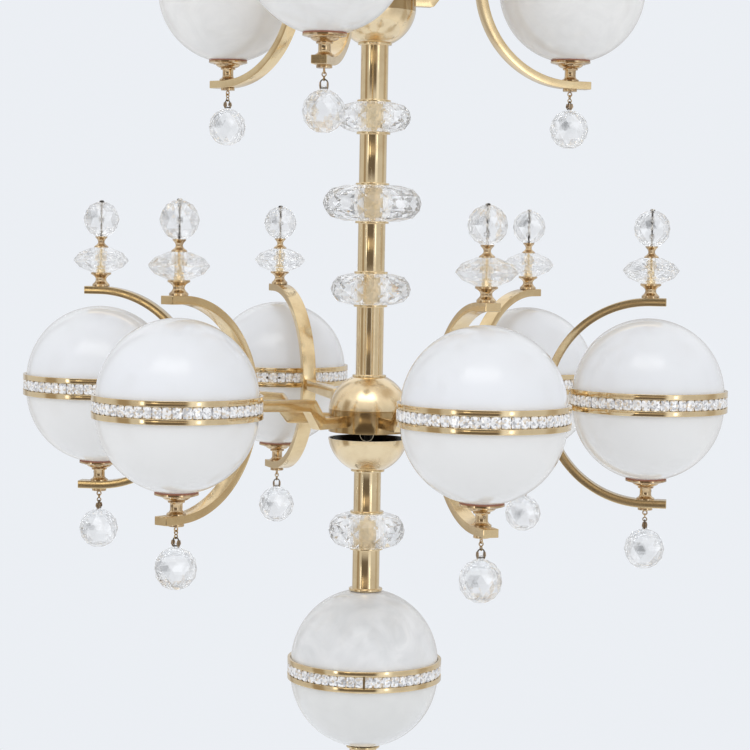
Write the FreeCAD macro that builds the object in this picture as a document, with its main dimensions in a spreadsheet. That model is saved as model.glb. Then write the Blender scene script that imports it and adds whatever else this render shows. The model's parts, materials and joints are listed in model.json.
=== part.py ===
import FreeCAD, Part
import Sketcher
import math
import os

# Two-tier chandelier: brass stem, nine bracket arms, ten white glass globes and cut-glass drops.
# The origin is the centre of the ceiling plate's upper face, and everything hangs below it in -Z.
# Lengths are millimetres and turns are degrees.

doc = FreeCAD.newDocument("chandelier")
sheet = doc.addObject("Spreadsheet::Sheet", "size")

DRIVING_SIZES = {
    # ceiling fixing
    "plate_length": 112,
    "plate_width": 28,
    "plate_thickness": 4,
    "screw_spacing": 84,
    "screw_hole_radius": 2.6,
    "canopy_radius": 64,
    "canopy_neck_radius": 21,
    "canopy_height": 54,
    "canopy_rim_height": 7,
    "canopy_wall": 1.6,
    # central rod and its nuts
    "rod_radius": 5,
    "rod_bore_radius": 3.4,
    "rod_end_inset": 0.4,
    "nut_radius": 9.5,
    "nut_height": 7,
    "clamp_radius": 19,
    "clamp_height": 3,
    # fits
    "slide_gap": 0.3,
    "seat_gap": 0.1,
    "pin_gap": 0.05,
    # stem tubes, named from the ceiling down
    "tube_radius": 16.5,
    "tube_wall": 1.5,
    "flange_radius": 20.4,
    "flange_height": 2.8,
    "spigot_radius": 14.5,
    "tube_1_length": 79,
    "tube_2_length": 78,
    "tube_3_length": 66,
    "tube_4_length": 71,
    "tube_5_length": 64,
    "tube_6_length": 63.5,
    "tube_7_length": 88,
    "tube_8_length": 54,
    "tube_9_length": 53,
    "tube_10_length": 22,
    # cut-glass rings on the stem, named from the ceiling down
    "ring_1_radius": 59.5,
    "ring_1_height": 43,
    "ring_2_radius": 46,
    "ring_2_height": 37,
    "ring_3_radius": 45,
    "ring_3_height": 35.5,
    "ring_4_radius": 59.7,
    "ring_4_height": 43,
    "ring_5_radius": 48.5,
    "ring_5_height": 37,
    "ring_6_radius": 46.5,
    "ring_6_height": 41.5,
    "ring_facets": 16,
    # hubs
    "hub_radius": 48.5,
    "hub_crown_radius": 21.5,
    "hub_wall": 1.6,
    "dome_height": 38.5,
    "drum_height": 27.7,
    "drum_wall": 3,
    "drum_web": 4,
    "bowl_height": 37.7,
    "bowl_drop": 8,
    "wire_radius": 0.45,
    "wire_loop_radius": 8,
    "wire_reach": 40,
    "wire_show": 7.5,
    "wire_turn": -84,
    # arms and brackets
    "lower_reach": 336,
    "upper_reach": 254,
    "upper_turn": 26,
    "arm_width": 12.5,
    "arm_height": 13.5,
    "arm_drop": 13.2,
    "lower_step_start": 94,
    "upper_step_start": 66.5,
    "step_run": 17.9,
    "step_rise": 22.6,
    "arm_rise": 5,
    "bracket_inner_radius": 115.5,
    "bracket_thickness": 9.5,
    "bracket_width": 18,
    "bracket_sink": 4,
    "top_overhang": 19,
    "foot_overhang": 25,
    "lower_globe_lift": 20.5,
    "upper_globe_lift": 17.5,
    # globes
    "globe_radius": 90,
    "globe_wall": 3,
    "globe_waist": 13.5,
    "globe_hole_radius": 15,
    # equator band and its stones
    "band_radius": 94,
    "band_height": 25.6,
    "band_channel": 11.8,
    "band_web": 1,
    "ledge_reach": 3.5,
    "joint_width": 2.6,
    "joint_depth": 1.4,
    "joint_lap": 1,
    "bottom_turn": 98.5,
    "stone_depth": 2.2,
    "stone_count": 54,
    # cup under each globe
    "cup_radius": 24.6,
    "cup_lip": 1,
    "cup_step_radius": 18.5,
    "cup_step_height": 2.6,
    "cup_collar_radius": 9,
    "cup_neck_radius": 6.9,
    "cup_foot_radius": 10.8,
    "cup_foot_height": 3.5,
    "gasket_radius": 24,
    "gasket_bore_radius": 19,
    "gasket_height": 1.2,
    # lamp and holder inside each globe
    "nipple_radius": 4.9,
    "nipple_depth": 6,
    "holder_radius": 18,
    "holder_height": 58,
    "lamp_neck_radius": 12,
    "lamp_neck_height": 16,
    "lamp_radius": 21,
    # set screw in the neck of each cup and of each finial's base
    "set_screw_radius": 1.5,
    "set_screw_inset": 0.3,
    "socket_radius": 0.9,
    "socket_depth": 0.8,
    # finial on each bracket
    "finial_foot_radius": 10.6,
    "finial_foot_height": 3.6,
    "finial_neck_radius": 6.5,
    "finial_dish_radius": 12.4,
    "finial_base_height": 17,
    "sleeve_radius": 5,
    "sleeve_height": 15,
    "rondelle_radius": 33.7,
    "rondelle_height": 30.6,
    "rondelle_facets": 14,
    "collar_radius": 8.7,
    "collar_neck_radius": 5.3,
    "collar_height": 13.6,
    "collar_flange_height": 2.2,
    "finial_ball_radius": 22,
    "finial_pin_radius": 1.4,
    "finial_knob_radius": 3,
    "finial_knob_height": 2.4,
    "ball_facets": 12,
    # drop under each cup
    "eye_collar_radius": 8.8,
    "eye_collar_height": 3.2,
    "eye_screw_radius": 1.6,
    "eye_screw_length": 2.6,
    "eye_radius": 2.5,
    "eye_wire_radius": 0.8,
    "link_radius": 2.3,
    "link_wire_radius": 0.65,
    "clip_radius": 4.2,
    "clip_wire_radius": 0.75,
    "clip_leg": 5.15,
    "leaf_width": 6.8,
    "leaf_tip": 2,
    "leaf_shoulder": 2.4,
    "leaf_height": 6.5,
    "leaf_thickness": 0.9,
    "drop_ball_radius": 24,
    "drop_neck_radius": 3,
    "drop_neck_top": 2.2,
    "drop_pin_lift": 1.2,
}

for row, (alias, value) in enumerate(DRIVING_SIZES.items(), start=1):
    sheet.set(f"A{row}", alias)
    sheet.set(f"B{row}", str(value))
    sheet.setAlias(f"B{row}", alias)
doc.recompute()

NODES = []
X_AXIS = FreeCAD.Vector(1, 0, 0)
Y_AXIS = FreeCAD.Vector(0, 1, 0)
Z_AXIS = FreeCAD.Vector(0, 0, 1)


def number(expression):
    """The present value of an expression on the sheet."""
    return float(sheet.evalExpression(expression))


def cylinder(name, radius, height, z="0", x="0"):
    shape = doc.addObject("Part::Cylinder", name)
    shape.setExpression("Radius", radius)
    shape.setExpression("Height", height)
    shape.setExpression("Placement.Base.x", x)
    shape.setExpression("Placement.Base.z", z)
    return shape


def box(name, length, width, height, x, z):
    """A box centred on Y, from x and z towards +X and +Z."""
    shape = doc.addObject("Part::Box", name)
    shape.setExpression("Length", length)
    shape.setExpression("Width", width)
    shape.setExpression("Height", height)
    shape.setExpression("Placement.Base.x", x)
    shape.setExpression("Placement.Base.y", f"-({width}) / 2")
    shape.setExpression("Placement.Base.z", z)
    return shape


def sphere(name, radius, z="0"):
    shape = doc.addObject("Part::Sphere", name)
    shape.setExpression("Radius", radius)
    shape.setExpression("Placement.Base.z", z)
    return shape


def wire_ring(name, radius, wire_radius, z, turn_axis, arc=360):
    """A wire ring, or the upper part of one, stood up about the given axis."""
    shape = doc.addObject("Part::Torus", name)
    shape.setExpression("Radius1", radius)
    shape.setExpression("Radius2", wire_radius)
    shape.Angle3 = arc
    shape.Placement.Rotation = FreeCAD.Rotation(turn_axis, 90)
    shape.setExpression("Placement.Base.z", z)
    return shape


def fuse(name, parts):
    shape = doc.addObject("Part::MultiFuse", name)
    shape.Shapes = parts
    return shape


def cut(name, base, tool):
    shape = doc.addObject("Part::Cut", name)
    shape.Base = base
    shape.Tool = tool
    return shape


def common(name, first, second):
    shape = doc.addObject("Part::MultiCommon", name)
    shape.Shapes = [first, second]
    return shape


def outline(name, corners):
    """A closed sketch in the XZ plane. Each corner is (x, z) as expressions, and a corner with two
    more entries, (radius, side), starts an arc to the next one: side 1 has its centre on the left
    of the way round, and -1 on the right."""
    sketch = doc.addObject("Sketcher::SketchObject", name)
    sketch.Placement = FreeCAD.Placement(FreeCAD.Vector(), FreeCAD.Rotation(X_AXIS, 90))
    points = [FreeCAD.Vector(number(corner[0]), number(corner[1]), 0) for corner in corners]
    count = len(corners)
    ends = []
    for index, corner in enumerate(corners):
        start = points[index]
        finish = points[(index + 1) % count]
        if len(corner) == 2:
            edge = sketch.addGeometry(Part.LineSegment(start, finish), False)
            ends.append((edge, 1, 2))
            continue
        radius = number(corner[2])
        side = corner[3]
        chord = finish - start
        left = FreeCAD.Vector(-chord.y, chord.x, 0).normalize()
        rise = math.sqrt(max(radius ** 2 - (chord.Length / 2) ** 2, 0))
        centre = (start + finish) * 0.5 + left * (side * rise)
        first, last = (start, finish) if side > 0 else (finish, start)
        circle = Part.Circle(centre, Z_AXIS, radius)
        first_angle = math.atan2(first.y - centre.y, first.x - centre.x)
        last_angle = math.atan2(last.y - centre.y, last.x - centre.x)
        edge = sketch.addGeometry(Part.ArcOfCircle(circle, first_angle, last_angle), False)
        ends.append((edge, 1, 2) if side > 0 else (edge, 2, 1))
        rule = sketch.addConstraint(Sketcher.Constraint("Radius", edge, radius))
        sketch.setExpression(f"Constraints[{rule}]", corner[2])
    for index in range(count):
        edge, _, end = ends[index]
        next_edge, next_start, _ = ends[(index + 1) % count]
        sketch.addConstraint(Sketcher.Constraint("Coincident", edge, end, next_edge, next_start))
    for index, corner in enumerate(corners):
        edge, start, _ = ends[index]
        for kind, place, expression in (("DistanceX", points[index].x, corner[0]),
                                        ("DistanceY", points[index].y, corner[1])):
            rule = sketch.addConstraint(Sketcher.Constraint(kind, -1, 1, edge, start, place))
            sketch.setExpression(f"Constraints[{rule}]", expression)
    return sketch


def turned(name, corners):
    """A piece turned about Z from an outline of (radius, z) corners."""
    shape = doc.addObject("Part::Revolution", name)
    shape.Source = outline(name + "_outline", corners)
    shape.Axis = Z_AXIS
    shape.Base = FreeCAD.Vector()
    shape.Angle = 360
    shape.Solid = True
    return shape


def bar(name, corners, width):
    """A flat bar cut to an XZ outline, centred on Y."""
    shape = doc.addObject("Part::Extrusion", name)
    shape.Base = outline(name + "_outline", corners)
    shape.DirMode = "Custom"
    shape.Dir = Y_AXIS
    shape.setExpression("LengthFwd", f"({width}) / 2")
    shape.setExpression("LengthRev", f"({width}) / 2")
    shape.Solid = True
    return shape


def placed(master, name, reach, turn, z):
    """A copy of a master, out at a reach from the stem, turned to face outwards."""
    copy = doc.addObject("App::Link", name)
    copy.LinkedObject = master
    copy.setExpression("Placement.Base.x", f"({reach}) * cos({turn} * 1 deg)")
    copy.setExpression("Placement.Base.y", f"({reach}) * sin({turn} * 1 deg)")
    copy.setExpression("Placement.Base.z", z)
    copy.setExpression("Placement.Rotation.Angle", f"{turn} * 1 deg")
    return copy


def node(label, parts):
    """One named node of the object, made of one or more separate solids."""
    group = doc.addObject("Part::Compound", label)
    group.Links = parts
    group.Label = label
    NODES.append(group)
    return group


def faceted(name, rings, facets, bore=None):
    """A cut-glass solid: rings of corners, each turned half a facet from the last, joined by
    triangles. Rings are (radius, z) from the top down. A bore has upright walls."""
    def ring_points(radius, z, shift):
        turns = [2 * math.pi * (index + shift) / facets for index in range(facets)]
        return [FreeCAD.Vector(radius * math.cos(turn), radius * math.sin(turn), z) for turn in turns]

    rows = [ring_points(radius, z, (level % 2) / 2) for level, (radius, z) in enumerate(rings)]
    faces = []
    for level in range(len(rows) - 1):
        upper, lower = rows[level], rows[level + 1]
        lead = level % 2
        for index in range(facets):
            after = (index + 1) % facets
            if lead == 0:
                faces.append((upper[index], lower[index], upper[after]))
                faces.append((upper[after], lower[index], lower[after]))
            else:
                faces.append((upper[index], lower[index], lower[after]))
                faces.append((upper[index], lower[after], upper[after]))
    sides = [Part.Face(Part.makePolygon(list(corners) + [corners[0]])) for corners in faces]
    ends = [Part.Face(Part.makePolygon(row + [row[0]])) for row in (rows[0], rows[-1])]
    solid = Part.Solid(Part.makeShell(sides + ends))
    if solid.Volume < 0:
        solid.reverse()
    if bore:
        top, bottom = rings[0][1], rings[-1][1]
        solid = solid.cut(Part.makeCylinder(bore, top - bottom, FreeCAD.Vector(0, 0, bottom)))
    feature = doc.addObject("Part::Feature", name)
    feature.Shape = solid
    return feature


# Levels down the stem, as expressions on the sheet

def below(level, *names):
    return "(" + " - ".join([level] + [f"size.{part}" for part in names]) + ")"


ring_tops = {}
tube_tops = {1: below("0", "canopy_height")}
ring_tops[1] = below(tube_tops[1], "tube_1_length")
tube_tops[2] = below(ring_tops[1], "ring_1_height")
ring_tops[2] = below(tube_tops[2], "tube_2_length")
tube_tops[3] = below(ring_tops[2], "ring_2_height")
upper_dome_top = below(tube_tops[3], "tube_3_length")
upper_seam = below(upper_dome_top, "dome_height")
upper_bowl_rim = below(upper_seam, "drum_height")
tube_tops[4] = below(upper_bowl_rim, "bowl_height")
ring_tops[3] = below(tube_tops[4], "tube_4_length")
tube_tops[5] = below(ring_tops[3], "ring_3_height")
ring_tops[4] = below(tube_tops[5], "tube_5_length")
tube_tops[6] = below(ring_tops[4], "ring_4_height")
ring_tops[5] = below(tube_tops[6], "tube_6_length")
tube_tops[7] = below(ring_tops[5], "ring_5_height")
lower_dome_top = below(tube_tops[7], "tube_7_length")
lower_seam = below(lower_dome_top, "dome_height")
lower_drum_foot = below(lower_seam, "drum_height")
lower_bowl_rim = below(lower_drum_foot, "bowl_drop")
tube_tops[8] = below(lower_bowl_rim, "bowl_height", "seat_gap")
ring_tops[6] = below(tube_tops[8], "tube_8_length")
tube_tops[9] = below(ring_tops[6], "ring_6_height")
globe_collar_foot = below(tube_tops[9], "tube_9_length")

# Heights in one light's own frame, whose origin is the centre of its globe

half_waist = "size.globe_waist / 2"
pole_height = f"({half_waist} + sqrt(size.globe_radius ^ 2 - size.globe_hole_radius ^ 2) + size.seat_gap)"
bracket_outer = "(size.bracket_inner_radius + size.bracket_thickness)"
bar_top = f"({bracket_outer} - size.bracket_sink)"
foot_top = "(-size.bracket_sink - size.bracket_inner_radius)"
foot_bottom = f"(-size.bracket_sink - {bracket_outer})"
bottom_globe_centre = f"({globe_collar_foot} - {pole_height})"
lower_light = f"({lower_seam} + size.lower_globe_lift)"
upper_light = f"({upper_seam} + size.upper_globe_lift)"

LOWER_TURNS = [str(60 * index) for index in range(6)]
UPPER_TURNS = [f"(size.upper_turn + {120 * index})" for index in range(3)]
ARM_LIGHTS = [(f"lower_{index + 1}", "size.lower_reach", turn, lower_light)
              for index, turn in enumerate(LOWER_TURNS)]
ARM_LIGHTS += [(f"upper_{index + 1}", "size.upper_reach", turn, upper_light)
               for index, turn in enumerate(UPPER_TURNS)]
BOTTOM_LIGHT = ("bottom", "0", "size.bottom_turn", bottom_globe_centre)


def on_lights(label, master, lights):
    return node(label, [placed(master, f"{label}_at_{name}", reach, turn, z)
                        for name, reach, turn, z in lights])


# Ceiling plate, a strap with two screw holes and a hole for the rod

strap = box("strap", "size.plate_length", "size.plate_width", "size.plate_thickness",
            "-size.plate_length / 2", "-size.plate_thickness")
strap_holes = [cylinder("rod_hole", "size.rod_radius + size.pin_gap", "2 * size.plate_thickness",
                        "-1.5 * size.plate_thickness")]
for side in (-1, 1):
    strap_holes.append(cylinder(f"screw_hole_{side + 2}", "size.screw_hole_radius",
                                "2 * size.plate_thickness", "-1.5 * size.plate_thickness",
                                f"{side} * size.screw_spacing / 2"))
node("ceiling_plate", [cut("drilled_strap", strap, fuse("strap_drills", strap_holes))])

# Canopy, a spun bell that hides the plate: rim, shoulder and neck

canopy_arc_share = 1.02
canopy_arc = f"((size.canopy_height - size.canopy_rim_height) * {canopy_arc_share})"
canopy_inside = "(size.canopy_radius - size.canopy_wall)"
node("ceiling_canopy", [turned("canopy_bell", [
    ("size.rod_radius + size.slide_gap", "-size.canopy_height"),
    ("size.canopy_neck_radius", "-size.canopy_height", canopy_arc, -1),
    ("size.canopy_radius", "-size.canopy_rim_height"),
    ("size.canopy_radius", "-size.seat_gap"),
    (canopy_inside, "-size.seat_gap"),
    (canopy_inside, "-size.canopy_rim_height", f"{canopy_arc} + size.canopy_wall", 1),
    ("size.canopy_neck_radius - size.canopy_wall / 2", "-size.canopy_height + size.canopy_wall"),
    ("size.rod_radius + size.slide_gap", "-size.canopy_height + size.canopy_wall")])])

# Central threaded pipe from the plate to the clamp inside the bottom globe. The wires run in it

rod_foot = (f"({bottom_globe_centre} + {half_waist} + size.globe_radius - size.globe_wall"
            " - 2 * size.clamp_height)")
rod = turned("rod", [
    ("size.rod_bore_radius", rod_foot), ("size.rod_radius", rod_foot),
    ("size.rod_radius", "-size.rod_end_inset"), ("size.rod_bore_radius", "-size.rod_end_inset")])
node("threaded_rod", [rod])


def rod_nut(name, level):
    """A six-sided nut hanging from a level, bored for the rod."""
    blank = doc.addObject("Part::Prism", name + "_blank")
    blank.Polygon = 6
    blank.setExpression("Circumradius", "size.nut_radius")
    blank.setExpression("Height", "size.nut_height")
    blank.setExpression("Placement.Base.z", f"{level} - size.nut_height")
    bore = cylinder(name + "_bore", "size.rod_radius + size.pin_gap", "2 * size.nut_height",
                    f"{level} - 1.5 * size.nut_height")
    return cut(name, blank, bore)


clamp_top = (f"({bottom_globe_centre} + {half_waist} + sqrt((size.globe_radius - size.globe_wall) ^ 2"
             " - size.clamp_radius ^ 2) - size.seat_gap)")
clamp = turned("globe_clamp", [
    ("size.rod_radius + size.pin_gap", f"{clamp_top} - size.clamp_height"),
    ("size.clamp_radius", f"{clamp_top} - size.clamp_height"),
    ("size.clamp_radius", clamp_top),
    ("size.rod_radius + size.pin_gap", clamp_top)])
node("stem_nuts", [rod_nut("ceiling_nut", "(-size.plate_thickness - size.seat_gap)"),
                   rod_nut("upper_hub_nut", f"({upper_seam} - size.drum_web - size.seat_gap)"),
                   rod_nut("lower_hub_nut", f"({lower_seam} - size.drum_web - size.seat_gap)"),
                   clamp])


def stem_tube(index, top, spigot=None, foot_bore=None):
    """A hollow tube with a flange at each end and, over a glass ring, a spigot that carries it."""
    length = f"size.tube_{index}_length"
    bore = "(size.rod_radius + size.slide_gap)"
    foot_bore = foot_bore or bore
    inside = "(size.tube_radius - size.tube_wall)"
    foot = f"({top} - {length})"
    under_top_flange = f"({top} - size.flange_height)"
    over_foot_flange = f"({foot} + size.flange_height)"
    corners = [(bore, top), ("size.flange_radius", top), ("size.flange_radius", under_top_flange),
               ("size.tube_radius", under_top_flange), ("size.tube_radius", over_foot_flange),
               ("size.flange_radius", over_foot_flange), ("size.flange_radius", foot)]
    if spigot:
        spigot_foot = f"({foot} - {spigot} + size.seat_gap)"
        spigot_inside = "(size.spigot_radius - size.tube_wall)"
        corners += [("size.spigot_radius", foot), ("size.spigot_radius", spigot_foot),
                    (spigot_inside, spigot_foot), (spigot_inside, foot)]
    corners += [(foot_bore, foot), (foot_bore, over_foot_flange), (inside, over_foot_flange),
                (inside, under_top_flange), (bore, under_top_flange)]
    return turned(f"tube_{index}", corners)


ring_under_tube = {1: 1, 2: 2, 4: 3, 5: 4, 6: 5, 8: 6}
tubes = []
for index, top in tube_tops.items():
    ring = ring_under_tube.get(index)
    tubes.append(stem_tube(index, top, f"size.ring_{ring}_height" if ring else None))

# Short tube under the bottom globe, whose foot is bored only for the eye's screw

tail_top = f"({bottom_globe_centre} - {pole_height})"
tail_foot = f"({tail_top} - size.tube_10_length)"
eye_bore = "(size.eye_screw_radius + size.seat_gap)"
tubes.append(stem_tube(10, tail_top, foot_bore=eye_bore))
node("stem_tubes", tubes)

# Cut-glass rings on the stem. Shares are of the ring's radius and of half its height

ring_shares = [(0.56, 1.0), (0.83, 0.80), (0.965, 0.40), (1.0, 0.0), (0.965, -0.40), (0.83, -0.80),
               (0.56, -1.0)]
glass_rings = []
for index, top in ring_tops.items():
    radius = number(f"size.ring_{index}_radius")
    half = number(f"size.ring_{index}_height") / 2
    rings = [(radius * wide, half * high) for wide, high in ring_shares]
    bore = number("size.spigot_radius + size.slide_gap")
    ring = faceted(f"glass_ring_{index}", rings, round(number("size.ring_facets")), bore)
    ring.setExpression("Placement.Base.z", f"{top} - size.ring_{index}_height / 2")
    glass_rings.append(ring)
node("stem_crystals", glass_rings)


def hub_cap(name, height, level, upward):
    """A thin spherical cap with a flat crown, bored for the rod. Its rim is at the level."""
    offset = f"(({height}) ^ 2 + size.hub_crown_radius ^ 2 - size.hub_radius ^ 2) / (2 * {height})"
    curve = f"sqrt(size.hub_radius ^ 2 + ({offset}) ^ 2)"
    outer = common(name + "_outer", sphere(name + "_ball", curve, offset),
                   cylinder(name + "_slab", "2 * size.hub_radius", height))
    inner = common(name + "_inner", sphere(name + "_hollow", f"{curve} - size.hub_wall", offset),
                   cylinder(name + "_room", "2 * size.hub_radius", f"2 * {height} - size.hub_wall",
                            f"-({height})"))
    bore = cylinder(name + "_bore", "size.rod_radius + size.slide_gap", f"2 * {height}", "0")
    cap = cut(name, outer, fuse(name + "_void", [inner, bore]))
    if not upward:
        cap.Placement.Rotation = FreeCAD.Rotation(X_AXIS, 180)
    cap.setExpression("Placement.Base.z", level)
    return cap


node("hub_domes", [hub_cap("upper_dome", "size.dome_height", upper_seam, True),
                   hub_cap("lower_dome", "size.dome_height", lower_seam, True)])
node("upper_hub_bowl", [hub_cap("upper_bowl", "size.bowl_height", upper_bowl_rim, False)])
node("lower_hub_bowl", [hub_cap("lower_bowl", "size.bowl_height", lower_bowl_rim, False)])


def hub_drum(name, level, turns):
    """The cylinder between dome and bowl: a wall with a square window for each arm, and a web."""
    bore = "(size.rod_radius + size.slide_gap)"
    inside = "(size.hub_radius - size.drum_wall)"
    drum = turned(name + "_blank", [
        (bore, f"{level} - size.drum_web"),
        (inside, f"{level} - size.drum_web"),
        (inside, f"{level} - size.drum_height"),
        ("size.hub_radius", f"{level} - size.drum_height"),
        ("size.hub_radius", level),
        (bore, level)])
    windows = []
    for index, turn in enumerate(turns):
        window = box(f"{name}_window_{index}", "size.hub_radius", "size.arm_width + 2 * size.seat_gap",
                     "size.arm_height + 2 * size.seat_gap", "size.hub_radius / 2",
                     "-size.arm_height / 2 - size.seat_gap")
        windows.append(placed(window_frame(name, index, window), f"{name}_opening_{index}", "0", turn,
                              f"{level} - size.arm_drop"))
    return cut(name, drum, fuse(name + "_windows", windows))


def window_frame(name, index, window):
    """Holds one window box, so that a turned copy of it can be placed."""
    frame = doc.addObject("Part::Compound", f"{name}_frame_{index}")
    frame.Links = [window]
    return frame


node("hub_drums", [hub_drum("upper_drum", upper_seam, UPPER_TURNS),
                   hub_drum("lower_drum", lower_seam, LOWER_TURNS)])

# Loop of thin wire that hangs from the lower drum's web and shows in the gap over the dropped bowl

wire_bend_level = f"({lower_seam} - size.drum_height - size.bowl_drop + size.wire_show)"
wire_bend = wire_ring("wire_bend", "size.wire_loop_radius", "size.wire_radius", "0", X_AXIS, 180)
wire_bend.Placement.Rotation = FreeCAD.Rotation(Z_AXIS, 90).multiply(FreeCAD.Rotation(X_AXIS, -90))
wire_parts = [wire_bend]
for side in (-1, 1):
    leg = cylinder(f"wire_leg_{side + 2}", "size.wire_radius",
                   f"{lower_seam} - size.drum_web - size.seat_gap - {wire_bend_level}")
    leg.setExpression("Placement.Base.y", f"{side} * size.wire_loop_radius")
    wire_parts.append(leg)
hub_wire = fuse("wire_loop", wire_parts)
node("hub_wire", [placed(hub_wire, "hub_wire_place", "size.wire_reach", "size.wire_turn", wire_bend_level)])


def arm(name, tier):
    """A square bar with a step in it, welded to a C bracket of flat bar. It is drawn in the frame of
    its light, so the stem lies at minus the tier's reach."""
    reach = f"size.{tier}_reach"
    low = f"(-size.{tier}_globe_lift - size.arm_drop)"
    half = "size.arm_height / 2"
    start = f"(size.hub_radius - size.drum_wall - {reach})"
    step = f"(size.{tier}_step_start - {reach})"
    weld = "(-size.bracket_inner_radius - size.bracket_thickness / 2)"
    high = f"({low} + size.step_rise)"
    end = f"({high} + size.arm_rise)"
    slant = "(size.arm_height * size.step_run / size.step_rise / 2)"
    beam = bar(name + "_beam", [
        (start, f"{low} - {half}"),
        (f"{step} + {slant}", f"{low} - {half}"),
        (f"{step} + size.step_run + {slant}", f"{high} - {half}"),
        (weld, f"{end} - {half}"),
        (weld, f"{end} + {half}"),
        (f"{step} + size.step_run - {slant}", f"{high} + {half}"),
        (f"{step} - {slant}", f"{low} + {half}"),
        (start, f"{low} + {half}")], "size.arm_width")
    inner = "size.bracket_inner_radius"
    sink = "size.bracket_sink"
    bracket = bar(name + "_bracket", [
        ("size.top_overhang", f"{bracket_outer} - {sink}"),
        ("0", f"{bracket_outer} - {sink}", bracket_outer, 1),
        (f"-{bracket_outer}", f"-{sink}", bracket_outer, 1),
        ("0", f"-{bracket_outer} - {sink}"),
        ("size.foot_overhang", f"-{bracket_outer} - {sink}"),
        ("size.foot_overhang", f"-{inner} - {sink}"),
        ("0", f"-{inner} - {sink}", inner, -1),
        (f"-{inner}", f"-{sink}", inner, -1),
        ("0", f"{inner} - {sink}"),
        ("size.top_overhang", f"{inner} - {sink}")], "size.bracket_width")
    spot_face = cylinder(name + "_spot_face", "size.cup_foot_radius + size.slide_gap",
                         "size.cup_foot_height", foot_top)
    nipple_hole = cylinder(name + "_nipple_hole", "size.nipple_radius + size.seat_gap",
                           "2 * size.nipple_depth", f"{foot_top} - size.nipple_depth")
    eye_hole = cylinder(name + "_eye_hole", eye_bore, "size.bracket_thickness + size.seat_gap",
                        f"{foot_bottom} - size.seat_gap")
    pin_hole = cylinder(name + "_pin_hole", "size.finial_pin_radius + size.seat_gap",
                        "2 * size.bracket_thickness", f"{bar_top} - 1.5 * size.bracket_thickness")
    return cut(name, fuse(name + "_welded", [beam, bracket]),
               fuse(name + "_drills", [spot_face, nipple_hole, eye_hole, pin_hole]))


arm_masters = {"lower": arm("lower_arm_master", "lower"),
               "upper": arm("upper_arm_master", "upper")}
for name, reach, turn, z in ARM_LIGHTS:
    tier, index = name.split("_")
    node(f"{tier}_arm_{index}", [placed(arm_masters[tier], f"{name}_arm_place", reach, turn, z)])


def glass_half(name, hole, upward):
    """Half a globe: a glass shell above the waist, with a round hole at its pole or none."""
    outer = "size.globe_radius"
    inner = "(size.globe_radius - size.globe_wall)"
    way = 1 if upward else -1
    outer_pole = f"{way} * ({half_waist} + sqrt({outer} ^ 2 - ({hole}) ^ 2))"
    inner_pole = f"{way} * ({half_waist} + sqrt({inner} ^ 2 - ({hole}) ^ 2))"
    rim = f"{way} * {half_waist}"
    return turned(name, [(outer, rim, outer, way), (hole, outer_pole), (hole, inner_pole, inner, -way),
                         (inner, rim)])


closed_glass = glass_half("closed_glass", "0", True)
open_glass = glass_half("open_glass", "size.globe_hole_radius", False)
bored_glass = glass_half("bored_glass", "size.globe_hole_radius", True)
lower_lights = ARM_LIGHTS[:6]
upper_lights = ARM_LIGHTS[6:]
on_lights("lower_tier_glass_tops", closed_glass, lower_lights)
on_lights("lower_tier_glass_bases", open_glass, lower_lights)
on_lights("upper_tier_glass_tops", closed_glass, upper_lights)
on_lights("upper_tier_glass_bases", open_glass, upper_lights)
on_lights("bottom_globe_glass_top", bored_glass, [BOTTOM_LIGHT])
on_lights("bottom_globe_glass_base", open_glass, [BOTTOM_LIGHT])

# Equator band: one brass channel whose inner ledge parts the two glass rims. A small bar covers the
# joint of its row of stones

band_half = "size.band_height / 2"
channel_half = "size.band_channel / 2"
ledge_half = f"({half_waist} - size.seat_gap)"
band_bore = "(size.globe_radius + size.slide_gap)"
channel_floor = f"({band_bore} + size.band_web)"
ledge_bore = f"({band_bore} - size.ledge_reach)"
channel = turned("band_channel", [
    (ledge_bore, f"-{ledge_half}"), (band_bore, f"-{ledge_half}"), (band_bore, f"-{band_half}"),
    ("size.band_radius", f"-{band_half}"), ("size.band_radius", f"-{channel_half}"),
    (channel_floor, f"-{channel_half}"), (channel_floor, channel_half), ("size.band_radius", channel_half),
    ("size.band_radius", band_half), (band_bore, band_half), (band_bore, ledge_half),
    (ledge_bore, ledge_half)])
joint_bar = box("joint_bar", "size.joint_depth", "size.joint_width",
                "size.band_channel + 2 * size.joint_lap", "-size.band_radius",
                f"-{channel_half} - size.joint_lap")
on_lights("globe_bands", fuse("band", [channel, joint_bar]), ARM_LIGHTS + [BOTTOM_LIGHT])


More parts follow.
